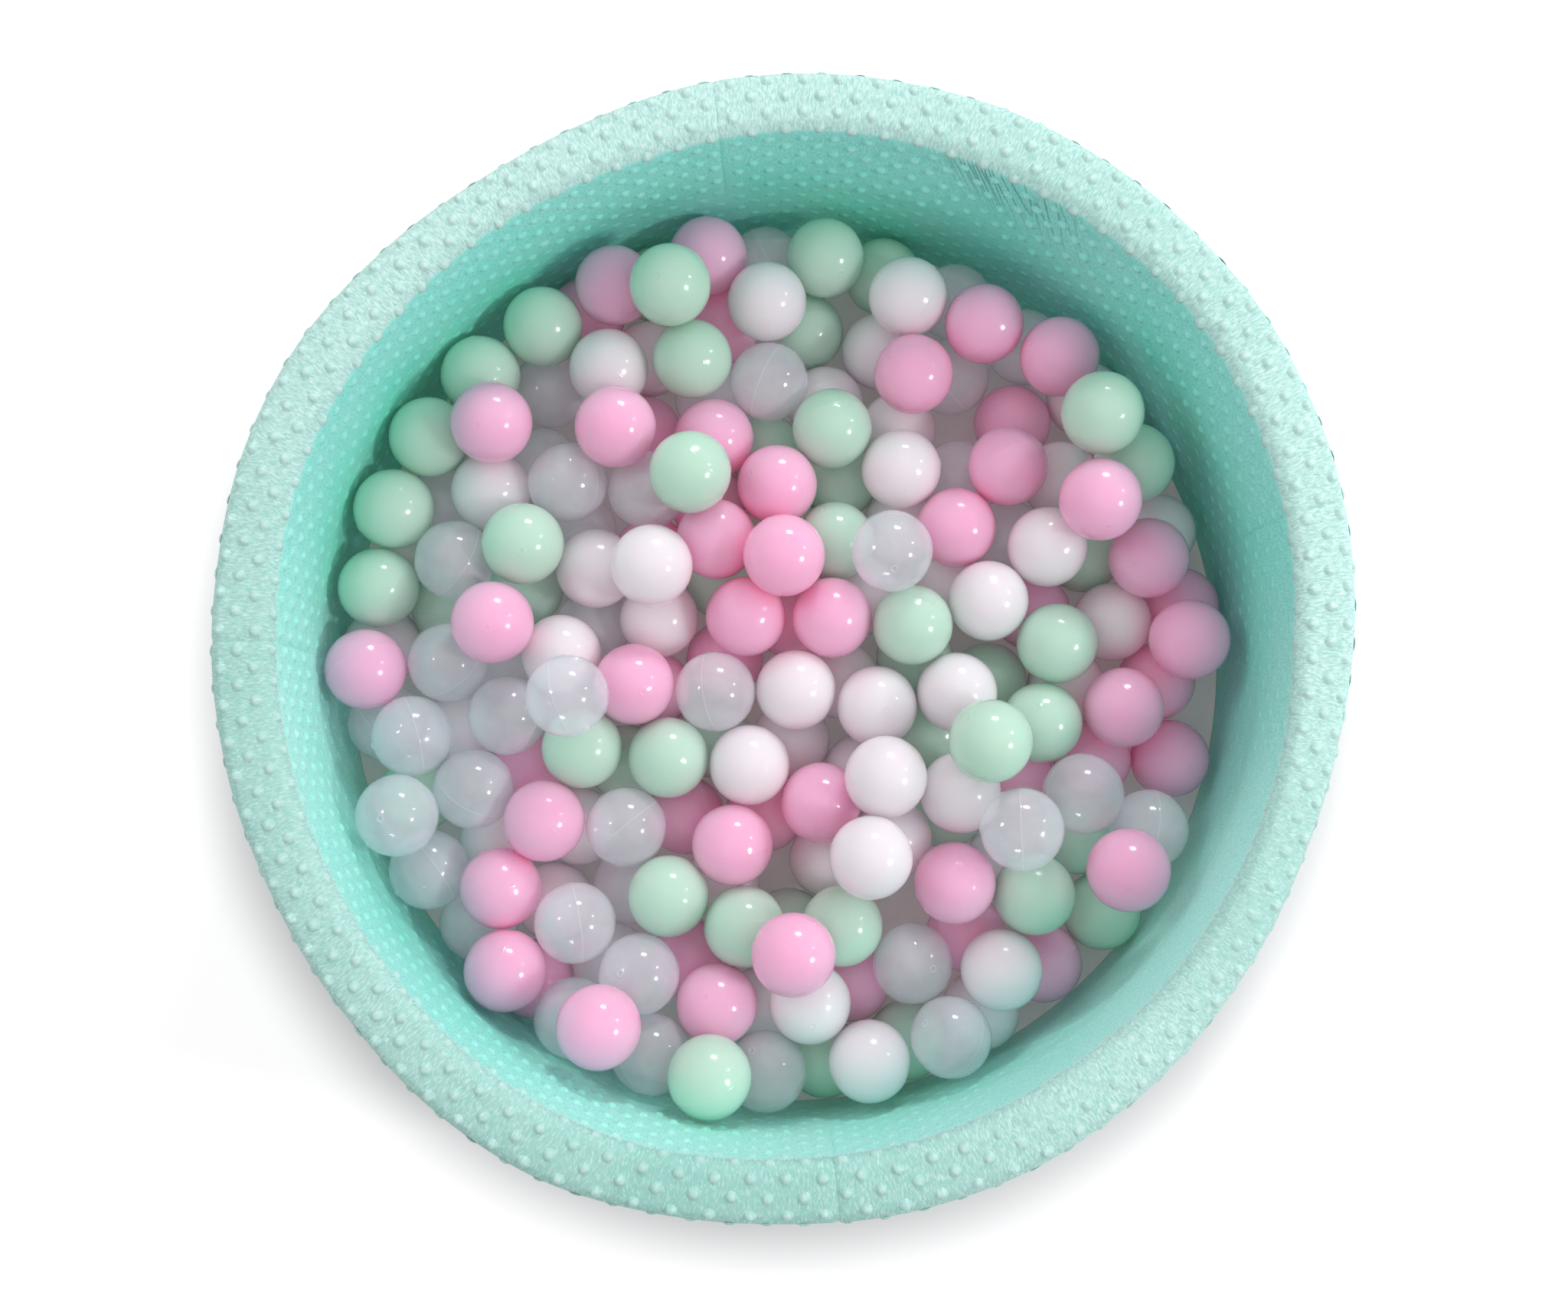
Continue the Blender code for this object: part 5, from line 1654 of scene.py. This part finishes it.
@dataclass
class SewnCloths:
    """The plain cloths: the inner floor, and the underside with its skirt and topstitching."""

    steps: int = 160
    thickness: float = 1.8 * MM
    rounding: float = 5 * MM
    edge_steps: int = 6
    hem_drop: float = 1.2 * MM
    flare: float = 0.2 * MM
    ring_shares: tuple[float, ...] = (0.9, 0.7, 0.45, 0.2, 0.02)
    floor_reach: float = 2.6 * MM
    floor_rounding: float = 1.2 * MM
    floor_edge_steps: int = 3
    stitch_size: tuple[float, float, float] = (3.0 * MM, 0.55 * MM, 0.55 * MM)
    stitch_pitch: float = 4.2 * MM
    stitch_drop: float = 4 * MM
    stitch_seed: int = 7

    def stitch(self) -> Object:
        """One stitch, lying along X, as a helper object."""
        bm = bmesh.new()
        bmesh.ops.create_uvsphere(bm, u_segments=6, v_segments=4, radius=0.5)
        bmesh.ops.transform(bm, matrix=Matrix.Rotation(math.pi / 2, 4, "Y"), verts=bm.verts)
        bmesh.ops.transform(bm, matrix=Matrix.Diagonal((*self.stitch_size, 1.0)), verts=bm.verts)
        return linked("stitch", drawn(bm, "stitch"))

    def underside(self, inset: float) -> np.ndarray:
        """One side of the underside, from the top of its skirt in.

        Args:
            inset: How far inside the cloth's outer face it is.

        Returns:
            The points, by row and column.
        """
        low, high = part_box("cover_underside")
        edge, middle = high.x - inset, (high.x - self.rounding, low.z + self.rounding)
        flared = edge if inset else edge + self.flare
        side = [(edge, high.z), (edge, high.z - self.hem_drop), (flared, high.z - self.rounding)]
        side += arc(middle, self.rounding - inset, 0, -90, self.edge_steps)
        side += [(high.x * share, low.z + inset) for share in self.ring_shares]
        return turned_points(np.array(side), round_turns(self.steps)).transpose(1, 0, 2)

    def build(self, dresser: Dresser, tree: RowTree) -> None:
        """Builds and dresses the cloths and their stitches.

        Args:
            dresser: Who makes the pieces.
            tree: What sews the row of stitches.
        """
        name = "underside_cloth"
        mesh = sheet_mesh(name, self.underside(0.0), self.underside(self.thickness), wrapped=True)
        under = dresser.piece(name, mesh, "cover_underside", "cloth")
        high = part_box("cover_underside")[1]
        name = "inner_floor_cloth"
        floor_low, floor_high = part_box("cover_floor")
        reach = floor_high.x + self.floor_reach
        steps = (self.steps, self.floor_edge_steps)
        mesh = rounded_disc(name, reach, floor_low.z, floor_high.z, self.floor_rounding, steps)
        floor = dresser.piece(name, mesh, "cover_floor", "cloth")
        name = "skirt_stitches"
        ring = turned_points(np.array([(high.x, high.z - self.stitch_drop)]), round_turns(self.steps))
        path = path_of(f"{name}_path", ring[:, 0].tolist(), closed=True)
        thread, = dresser.finishes["thread"]
        mesh = tree.repeat(path, name, self.stitch(), self.stitch_pitch, self.stitch_seed, thread)
        dresser.extra(name, mesh, dresser.body_of("cover_underside"))


def frame_node(name: str) -> Object:
    """One of the frame's nodes."""
    return next(obj for obj in bpy.data.objects if obj.get("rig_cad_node") == name)


@dataclass(frozen=True)
class Band:
    """A node that goes part of the way round the pit."""

    start: float
    end: float
    inner: float
    outer: float
    low: float
    high: float

    @classmethod
    def of(cls, node: str) -> Band:
        """Measures a node's angles, radii and heights."""
        low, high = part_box(node)
        places = [vertex.co for vertex in frame_node(node).data.vertices]
        angles = [math.atan2(place.y, place.x) % FULL_TURN for place in places]
        radii = [math.hypot(place.x, place.y) for place in places]
        return cls(min(angles), max(angles), min(radii), max(radii), low.z, high.z)

    def turned(self, profile: Section, step_deg: float, room: float = 0.0) -> np.ndarray:
        """Turns a section from the band's start to its end.

        Args:
            profile: Points (r, z) of the section.
            step_deg: How many degrees it turns at a time at most.
            room: The angle that it keeps from both ends.

        Returns:
            The points, by angle and by place in the section.
        """
        steps = math.ceil(math.degrees(self.end - self.start) / step_deg)
        shares = np.arange(steps + 1) / steps
        turns = self.start + room + (self.end - self.start - 2 * room) * shares
        return turned_points(np.array(profile), turns)


@dataclass
class Zip:
    """The zip round the back: two tapes, two rows of teeth, two stops, the slider and its pull."""

    step_deg: float = 1.0
    tape_edge: float = 0.2 * MM
    tooth_pitch: float = 2.8 * MM
    tooth_seed: int = 3
    head_share: float = 0.62
    root_share: float = 0.42
    depth_share: float = 0.98
    height_share: float = 0.96
    edge_radius: float = 0.25 * MM
    same_place: float = 0.005 * MM
    flat_below: float = math.radians(1)
    round_above: float = math.radians(28)

    def tape(self, node: str) -> Mesh:
        """A smooth band in a tape's place, with softened edges."""
        band, soft = Band.of(node), self.tape_edge
        radii = (band.inner, band.inner + soft, band.outer - soft, band.outer)
        low = list(zip(radii, (band.low + soft, band.low, band.low, band.low + soft)))
        high = list(zip(radii, (band.high - soft, band.high, band.high, band.high - soft)))
        return bar_mesh(f"{node}_band", band.turned(low + high[::-1], self.step_deg))

    def tooth(self, height: float, depth: float, upward: bool) -> Object:
        """One tooth, X along the zip, Y outward and Z up, as a helper object.

        Args:
            height: Height of its row.
            depth: Depth of its row.
            upward: Whether its head points up, towards the other row.

        Returns:
            The helper.
        """
        bm = bmesh.new()
        bmesh.ops.create_cube(bm, size=1.0)
        for vert in bm.verts:
            share = self.head_share if (vert.co.z > 0) == upward else self.root_share
            vert.co.x *= self.tooth_pitch * share
            vert.co.y *= depth * self.depth_share
            vert.co.z *= height * self.height_share
        bmesh.ops.bevel(
            bm, geom=list(bm.edges), offset=self.edge_radius, segments=1, affect="EDGES", clamp_overlap=True
        )
        return linked("tooth", drawn(bm, "tooth"))

    def teeth(self, node: str, upward: bool, tree: RowTree, material: Material) -> Mesh:
        """A row of teeth in a node's place.

        Args:
            node: The row's node.
            upward: Whether the teeth's heads point up.
            tree: What repeats the tooth.
            material: The teeth's material.

        Returns:
            The row's mesh.
        """
        band = Band.of(node)
        middle = (band.inner + band.outer) / 2
        line = band.turned([(middle, (band.low + band.high) / 2)], self.step_deg, self.tooth_pitch / 2 / middle)
        path = path_of(f"{node}_path", line[:, 0].tolist())
        shape = self.tooth(band.high - band.low, band.outer - band.inner, upward)
        return tree.repeat(path, f"{node}_row", shape, self.tooth_pitch, self.tooth_seed, material)

    def softened(self, node: str) -> Mesh:
        """A copy of a metal node's shape, with its edges rounded as casting leaves them."""
        mesh = frame_node(node).data.copy()
        bm = bmesh.new()
        bm.from_mesh(mesh)
        bmesh.ops.remove_doubles(bm, verts=bm.verts, dist=self.same_place)
        bmesh.ops.dissolve_limit(bm, angle_limit=self.flat_below, verts=bm.verts, edges=bm.edges)
        sharp = [edge for edge in bm.edges if edge.is_manifold and edge.calc_face_angle() > self.round_above]
        bmesh.ops.bevel(
            bm, geom=sharp, offset=self.edge_radius, segments=2, profile=0.6, affect="EDGES", clamp_overlap=True
        )
        bmesh.ops.recalc_face_normals(bm, faces=bm.faces)
        bm.to_mesh(mesh)
        bm.free()
        mesh.shade_smooth()
        mesh.set_sharp_from_angle(angle=SHARP_ANGLE)
        return mesh

    def build(self, dresser: Dresser, tree: RowTree) -> None:
        """Builds and dresses the zip.

        Args:
            dresser: Who makes the pieces.
            tree: What repeats the teeth.
        """
        for node in ("zip_tape_lower", "zip_tape_upper"):
            tape = dresser.piece(f"{node}_band", self.tape(node), node, "zip_tape")
            band = Band.of(node)
        for node, upward in (("zip_teeth_lower", True), ("zip_teeth_upper", False)):
            row = self.teeth(node, upward, tree, *dresser.finishes["zip_teeth"])
            dresser.piece(f"{node}_row", row, node, "zip_teeth")
        for node in ("zip_stop_start", "zip_stop_end", "zip_slider", "zip_pull"):
            dresser.piece(f"{node}_cast", self.softened(node), node, "zip_metal")


@dataclass
class Pile:
    """Where the balls lie. They are let go over their read places and settle as the real ones do.

    Loose balls come first, then the upper and the lower bedded ones, and last those on the floor that
    nothing shows. A ball above or below the reading plane is seen slanting from the eye.
    """

    floor_top: float
    inner_radius: float = INNER_RADIUS
    ball_diameter: float = 70 * MM
    clearance: float = 0.3 * MM
    turn_sides: int = 48
    eye_height: float = 1600 * MM
    eye_setback: float = 123 * MM
    reading_height: float = 86 * MM
    drop_shares: tuple[float, ...] = (2.1, 1.7, 1.1)
    fill_pitch_share: float = 1.02
    fill_room_share: float = 0.84
    near_share: float = 1.25
    parting_rate_share: float = 1.5
    stages: tuple[tuple[int, float, float, int], ...] = (
        (120, 0.0143, 0.3, 6), (120, 0.0086, 0.3, 8), (80, 0.0043, 0.1, 10), (40, 0.0014, 0.0, 10),
    )
    last_partings: tuple[int, ...] = (400,) * 8
    bed_ring_shares: tuple[tuple[float, int], ...] = ((0.0, 1), (0.45, 6), (0.8, 9))
    counts: list[int] = field(default_factory=list)
    colours: list[BallColour] = field(default_factory=list)
    centres: np.ndarray = field(default_factory=lambda: np.zeros((0, 3)))
    homes: np.ndarray = field(default_factory=lambda: np.zeros((0, 2)))

    @property
    def limit(self) -> float:
        """How far out the centre of a ball can lie."""
        return self.inner_radius * math.cos(math.pi / self.turn_sides) - self.clearance - self.ball_diameter / 2

    @property
    def lowest(self) -> float:
        """How low the centre of a ball can lie."""
        return self.floor_top + self.clearance + self.ball_diameter / 2

    def along_sight(self, readings: np.ndarray, heights: np.ndarray) -> np.ndarray:
        """Where balls that are read on the reading plane lie in plan, once they are at their own heights."""
        eye, down = np.array([0.0, -self.eye_setback]), self.eye_height - self.reading_height
        return eye + (readings - eye) * ((self.eye_height - heights) / down)[:, None]

    def with_floor_filled(self, centres: np.ndarray) -> np.ndarray:
        """Adds the balls that nothing shows: rows on the floor, where there is room.

        Args:
            centres: The read balls.

        Returns:
            All the balls.
        """
        pitch = self.ball_diameter * self.fill_pitch_share
        row_pitch = pitch * math.sin(math.pi / 3)
        rows = int(self.inner_radius / row_pitch) + 1
        filled = [*centres]
        for row in range(-rows, rows + 1):
            for column in range(-rows, rows + 1):
                place = np.array([(column + row % 2 / 2) * pitch, row * row_pitch, self.lowest])
                if math.hypot(place[0], place[1]) > self.limit:
                    continue
                away = np.linalg.norm(np.array(filled) - place, axis=1).min()
                if away >= self.ball_diameter * self.fill_room_share:
                    filled.append(place)
        return np.array(filled)

    def parted(self, centres: np.ndarray, rounds: int) -> np.ndarray:
        """Pushes overlapping balls apart, inside the wall and above the floor.

        Args:
            centres: The balls.
            rounds: How many times they are pushed.

        Returns:
            The balls after it.
        """
        spacing = self.ball_diameter + self.clearance
        first, second = np.triu_indices(len(centres), 1)
        near = np.linalg.norm(centres[first] - centres[second], axis=1) < self.ball_diameter * self.near_share
        first, second = first[near], second[near]
        count = len(centres)
        for _ in range(rounds):
            between = centres[first] - centres[second]
            distance = np.linalg.norm(between, axis=1)
            overlap = np.clip(spacing - distance, 0, None)
            push = between * (overlap / distance / 2)[:, None]
            hits = np.bincount(first, overlap > 0, count) + np.bincount(second, overlap > 0, count)
            shift = [np.bincount(first, part, count) - np.bincount(second, part, count) for part in push.T]
            rate = (self.parting_rate_share / np.maximum(hits, 1))[:, None]
            centres = centres + np.column_stack(shift) * rate
            radial = np.maximum(np.linalg.norm(centres[:, :2], axis=1), self.limit)
            centres[:, :2] *= (self.limit / radial)[:, None]
            centres[:, 2] = np.maximum(centres[:, 2], self.lowest)
        return centres

    def settle(self) -> Pile:
        """Lets all the balls down, and draws those that were read back to their places."""
        tiers = (LOOSE_PLACES, UPPER_PLACES, LOWER_PLACES)
        self.counts = [sum(len(places) for places in tier.values()) for tier in tiers]
        rows = [(colour, place) for tier in tiers for colour in BallColour for place in tier[colour]]
        self.colours = [colour for colour, _ in rows]
        shares = np.array([place for _, place in rows]) / 1000
        heights = self.floor_top + self.ball_diameter * np.repeat(self.drop_shares, self.counts)
        readings = shares * self.inner_radius
        centres = self.with_floor_filled(np.column_stack([self.along_sight(readings, heights), heights]))
        read = len(readings)
        self.homes = np.vstack([shares, centres[read:, :2] / self.inner_radius])
        self.colours += [list(BallColour)[index % len(BallColour)] for index in range(len(centres) - read)]
        for rounds, sinking, drawing, partings in self.stages:
            for _ in range(rounds):
                centres[:, 2] -= sinking * self.ball_diameter
                drawn_to = self.along_sight(readings, centres[:read, 2])
                centres[:read, :2] += drawing * (drawn_to - centres[:read, :2])
                centres = self.parted(centres, partings)
        for rounds in self.last_partings:
            centres = self.parted(centres, rounds)
        self.centres = centres
        return self

    def beds(self) -> list[list[int]]:
        """The bedded balls, each with the bed whose middle lies nearest to its home."""
        middles = []
        for share, count in self.bed_ring_shares:
            angles = [FULL_TURN * place / count for place in range(count)]
            middles += [(share * math.cos(angle), share * math.sin(angle)) for angle in angles]
        beds: list[list[int]] = [[] for _ in middles]
        for ball in range(self.counts[0], len(self.centres)):
            distances = [math.dist(self.homes[ball], middle) for middle in middles]
            beds[distances.index(min(distances))].append(ball)
        return [bed for bed in beds if bed]


@dataclass
class BlownBalls:
    """The balls: thin blown globes, each with a parting line and the little ring of its blow pin."""

    pile: Pile
    fine: tuple[int, int] = (48, 20)
    coarse: tuple[int, int] = (24, 12)
    ridge_height: float = 0.16 * MM
    ridge_half: float = math.radians(0.75)
    ridge_rings: tuple[tuple[float, float], ...] = (
        (-2.2, 0.0), (-1.0, 0.2), (0.0, 1.0), (1.0, 0.2), (2.2, 0.0),
    )
    ridge_room: float = 4.0
    pin_radius: float = 2.6 * MM
    pin_height: float = 0.35 * MM
    pin_rings: tuple[tuple[float, float], ...] = ((0.86, 0.6), (1.0, 1.0), (1.14, 0.6), (1.35, 0.0))
    pin_dent: float = 0.5 * MM
    pin_dent_rings: tuple[float, ...] = (0.35, 0.7)
    pin_room: float = 1.8
    first_seed: int = 1000
    most_away: float = 2 * MM

    @property
    def radius(self) -> float:
        """Radius of a ball."""
        return self.pile.ball_diameter / 2

    def latitudes(self, rings: int, detailed: bool) -> list[tuple[float, float]]:
        """Rings of a globe, from its blow pin to its other pole.

        Args:
            rings: How many plain rings it has.
            detailed: Whether it has its parting line and blow pin.

        Returns:
            The angle from the pole, and the height over the globe, of each ring.
        """
        plain = [(math.pi * (index + 1) / (rings + 1), 0.0) for index in range(rings)]
        if not detailed:
            return plain
        middle, half, pin = math.pi / 2, self.ridge_half, self.pin_radius / self.radius
        shaped = [(middle + away * half, share * self.ridge_height) for away, share in self.ridge_rings]
        shaped += [(away * pin, -self.pin_dent) for away in self.pin_dent_rings]
        shaped += [(away * pin, share * self.pin_height) for away, share in self.pin_rings]
        ridge_room, pin_room = self.ridge_room * half, self.pin_room * pin
        plain = [ring for ring in plain if abs(ring[0] - middle) > ridge_room and ring[0] > pin_room]
        return sorted(shaped + plain)

    def globe(self, size: tuple[int, int], detailed: bool) -> tuple[np.ndarray, list[list[int]], np.ndarray]:
        """Points and faces of a ball at the origin, its blow pin up, and how far each point is on a ridge.

        Args:
            size: How many sides it has round its axis, and how many plain rings.
            detailed: Whether it has its parting line and blow pin.

        Returns:
            The points, the faces, and each point's share of a ridge.
        """
        segments, rings = size
        pin = (0.0, -self.pin_dent if detailed else 0.0)
        table = np.array([(math.pi, 0.0), *self.latitudes(rings, detailed)[::-1], pin])
        reach = self.radius + table[:, 1]
        profile = np.column_stack([reach * np.sin(table[:, 0]), reach * np.cos(table[:, 0])])
        ridge = np.repeat(np.clip(table[1:-1, 1] / self.ridge_height, 0, 1), segments)
        return *turned_shell(profile, segments), np.append(ridge, (0, 0))

    def group(self, name: str, balls: list[int], colours: list[BallColour]) -> Mesh:
        """One mesh of several balls.

        Args:
            name: The mesh's name.
            balls: The balls' numbers in the pile.
            colours: The colours whose materials the mesh has, in order.

        Returns:
            The mesh, with each face's material number and each ball's own tone.
        """
        shown = sum(self.pile.counts)
        fine, coarse = self.globe(self.fine, True), self.globe(self.coarse, False)
        all_points, all_faces, numbers, tones, ridges = [], [], [], [], []
        offset = 0
        for ball in balls:
            rng = np.random.default_rng(self.first_seed + ball)
            axis = Vector(rng.normal(size=3)).normalized()
            turn = Vector(UPWARD).rotation_difference(axis).to_matrix()
            points, faces, ridge = fine if ball < shown else coarse
            all_points.append(points @ np.array(turn).T + self.pile.centres[ball])
            all_faces += [[corner + offset for corner in face] for face in faces]
            numbers += [colours.index(self.pile.colours[ball])] * len(faces)
            tones += [float(rng.uniform())] * len(points)
            ridges.append(ridge)
            offset += len(points)
        mesh = mesh_of(name, np.vstack(all_points), all_faces, outward=False)
        store(mesh, "tone", np.array(tones))
        store(mesh, "ridge", np.concatenate(ridges))
        mesh.polygons.foreach_set("material_index", numbers)
        return mesh

    def build(self, dresser: Dresser) -> None:
        """Builds and dresses the loose balls, one piece each, and the bedded ones, one piece a bed.

        Args:
            dresser: Who makes the pieces.
        """
        numbers = dict.fromkeys(BallColour, 0)
        for ball, colour in enumerate(self.pile.colours[:self.pile.counts[0]]):
            numbers[colour] += 1
            slot = f"ball_{colour.value}"
            node = f"{slot}_{numbers[colour]:02d}"
            self.compare(node, ball)
            dresser.piece(f"{node}_globe", self.group(f"{node}_globe", [ball], [colour]), node, slot)
        for number, bed in enumerate(self.pile.beds(), 1):
            node = f"ball_bed_{number:02d}"
            mesh = self.group(f"{node}_globes", bed, list(BallColour))
            dresser.piece(f"{node}_globes", mesh, node, "balls_mixed")

    def compare(self, node: str, ball: int) -> None:
        """Warns when a loose ball doesn't lie where its node does.

        Args:
            node: The ball's node.
            ball: Its number in the pile.
        """
        low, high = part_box(node)
        away = max(abs((low[axis] + high[axis]) / 2 - self.pile.centres[ball][axis]) for axis in range(3))
        if away > self.most_away:
            log.warning("%s lies %.1f mm from its node", node, away / MM)


@dataclass(frozen=True)
class Lamp:
    """A soft box that faces the pit.

    Its direction is from the pit, and its power is in watts. A lamp that isn't mirrored doesn't show
    in glossy surfaces. One without shadows stands for the light that real balls, thin shells that
    they are, let through to those below.
    """

    name: str
    direction: tuple[float, float, float]
    distance: float
    size: tuple[float, float]
    power: float
    mirrored: bool = True
    shadows: bool = True


@dataclass
class Studio:
    """The pale floor, the soft light and the camera at the photograph's place."""

    eye: tuple[float, float, float] = (0.0, -0.123, 1.600)
    tilt_deg: float = 4.86
    lens: float = 38.355
    sensor: float = 36.0
    ambient: float = 0.47
    tint: Colour = (1.0, 0.965, 0.985)
    floor_colour: Colour = (0.70, 0.70, 0.70)
    floor_half: float = 9.0
    floor_sides: int = 8
    floor_drop: float = 0.2 * MM
    specks: Grain = Grain(8.0, 3.0)
    specked: Ramp = Ramp(0.3, 0.7, 0.0, 0.02)
    # Painted glow of the floor to the camera, by distance from the pit.
    painted_glow: Ramp = Ramp(507 * MM, 596 * MM, 0.0, 0.50)
    aim: tuple[float, float, float] = (0.0, 0.0, 0.2)
    bounces: int = 9
    spare_bounces: int = 4
    lamps: tuple[Lamp, ...] = (
        Lamp("back_window", (0.21, 0.87, 0.45), 3.4, (0.70, 0.46), 36.0),
        Lamp("right_lamp", (0.77, -0.22, 0.59), 3.2, (0.36, 0.36), 30.0),
        Lamp("right_window", (0.82, 0.28, 0.49), 3.4, (0.26, 0.42), 5.0),
        Lamp("right_box", (0.85, 0.25, 0.47), 3.2, (1.6, 1.6), 16.0, mirrored=False),
        Lamp("left_box", (-0.75, 0.35, 0.56), 3.2, (1.6, 1.6), 21.0, mirrored=False),
        Lamp("overhead", (0.04, -0.04, 1.0), 3.2, (0.9, 0.9), 15.0, mirrored=False, shadows=False),
    )

    def camera(self) -> None:
        """Sets the camera over the pit, leaning a little towards the back."""
        data = bpy.data.cameras.new("camera")
        data.lens = self.lens
        data.sensor_width = self.sensor
        data.sensor_fit = "HORIZONTAL"
        camera = bpy.data.objects.new("camera", data)
        camera.location = self.eye
        camera.rotation_euler = (math.radians(self.tilt_deg), 0, 0)
        bpy.context.scene.collection.objects.link(camera)
        bpy.context.scene.camera = camera

    def hang(self, lamp: Lamp) -> None:
        """Adds a lamp to the scene."""
        data = bpy.data.lights.new(lamp.name, "AREA")
        data.shape = "RECTANGLE"
        data.size, data.size_y = lamp.size
        data.energy = lamp.power
        data.color = self.tint
        data.use_shadow = lamp.shadows
        made = bpy.data.objects.new(lamp.name, data)
        place = Vector(lamp.direction).normalized() * lamp.distance + Vector(self.aim)
        made.location = place
        made.rotation_euler = (place - Vector(self.aim)).to_track_quat("Z", "Y").to_euler()
        made.visible_glossy = lamp.mirrored
        bpy.context.scene.collection.objects.link(made)

    def world(self) -> None:
        """White behind the pit, and a softer light from all round."""
        world = bpy.data.worlds.new("studio")
        bpy.context.scene.world = world
        world.use_nodes = True
        graph = NodeGraph(world.node_tree)
        background = world.node_tree.nodes["Background"]
        seen = graph.seen_by("Is Camera Ray", "Is Transmission Ray")
        graph.feed(background.inputs["Color"], graph.mixed(seen, self.tint, WHITE))
        graph.feed(background.inputs["Strength"], graph.ranged(seen, Ramp(0.0, 1.0, self.ambient)))

    def floor(self) -> None:
        """A wide pale floor that keeps the pit's shadow and is white to the camera elsewhere: a painted glow to
        the camera, rising with the distance from the pit, whitens it and draws the shadow's tight edge.
        """
        bm = bmesh.new()
        sides = self.floor_sides
        bmesh.ops.create_grid(bm, x_segments=sides, y_segments=sides, size=self.floor_half)
        mesh = drawn(bm, "floor", smooth=False)
        mesh.transform(Matrix.Translation((0, 0, -self.floor_drop)))
        floor = linked("floor", mesh)
        graph = ShaderGraph("floor")
        seen = graph.seen_by("Is Camera Ray", "Is Glossy Ray", "Is Transmission Ray")
        # Painted light: the floor glows to the camera more the further it lies from the pit.
        painted_glow = graph.ranged(graph.length(graph.place()), self.painted_glow, eased=True)
        specks = graph.noise(graph.place(), self.specks)
        mesh.materials.append(graph.finish(
            Base_Color=graph.stained(self.floor_colour, specks, self.specked, WHITE), Roughness=0.9,
            Specular_IOR_Level=0.0, Emission_Color=WHITE, Emission_Strength=graph.math("MULTIPLY", seen, painted_glow),
        ))
        floor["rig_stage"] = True

    def build(self) -> None:
        """Sets up the camera, the light and the floor."""
        scene = bpy.context.scene
        scene.view_settings.view_transform = "Standard"
        scene.cycles.diffuse_bounces = self.bounces
        scene.cycles.max_bounces = self.bounces + self.spare_bounces
        self.camera()
        self.world()
        self.floor()
        for lamp in self.lamps:
            self.hang(lamp)


def corners(box: tuple[Vector, Vector]) -> list[list[float]]:
    """A box's two corners as plain lists."""
    return [list(corner) for corner in box]


def main() -> None:
    """Dresses the whole pit, piece by piece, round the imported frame."""
    logging.basicConfig(level=logging.INFO, format="%(message)s", stream=sys.stdout)
    for old in list(bpy.data.objects):
        bpy.data.objects.remove(old)
    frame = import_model()
    solid_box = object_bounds()
    Studio().build()
    dresser = Dresser(frame, build_finishes())
    form = CoverForm(OUTER_RADIUS, INNER_RADIUS, solid_box[1].z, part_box("cover_floor")[0].z)
    hems = {name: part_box(name)[0].z for name in PlushCover.names}
    foam = FoamCore(form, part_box("wall_foam_back")[0].z).build(dresser)
    PlushCover(form, hems).build(dresser, foam)
    rows = RowTree()
    SewnCloths().build(dresser, rows)
    Zip().build(dresser, rows)
    pile = Pile(UNDERSIDE_DEPTH + LAYER_GAP + BASE_DEPTH + LAYER_GAP + FLOOR_CLOTH_DEPTH)
    BlownBalls(pile.settle()).build(dresser)


if __name__ == "__main__":
    main()
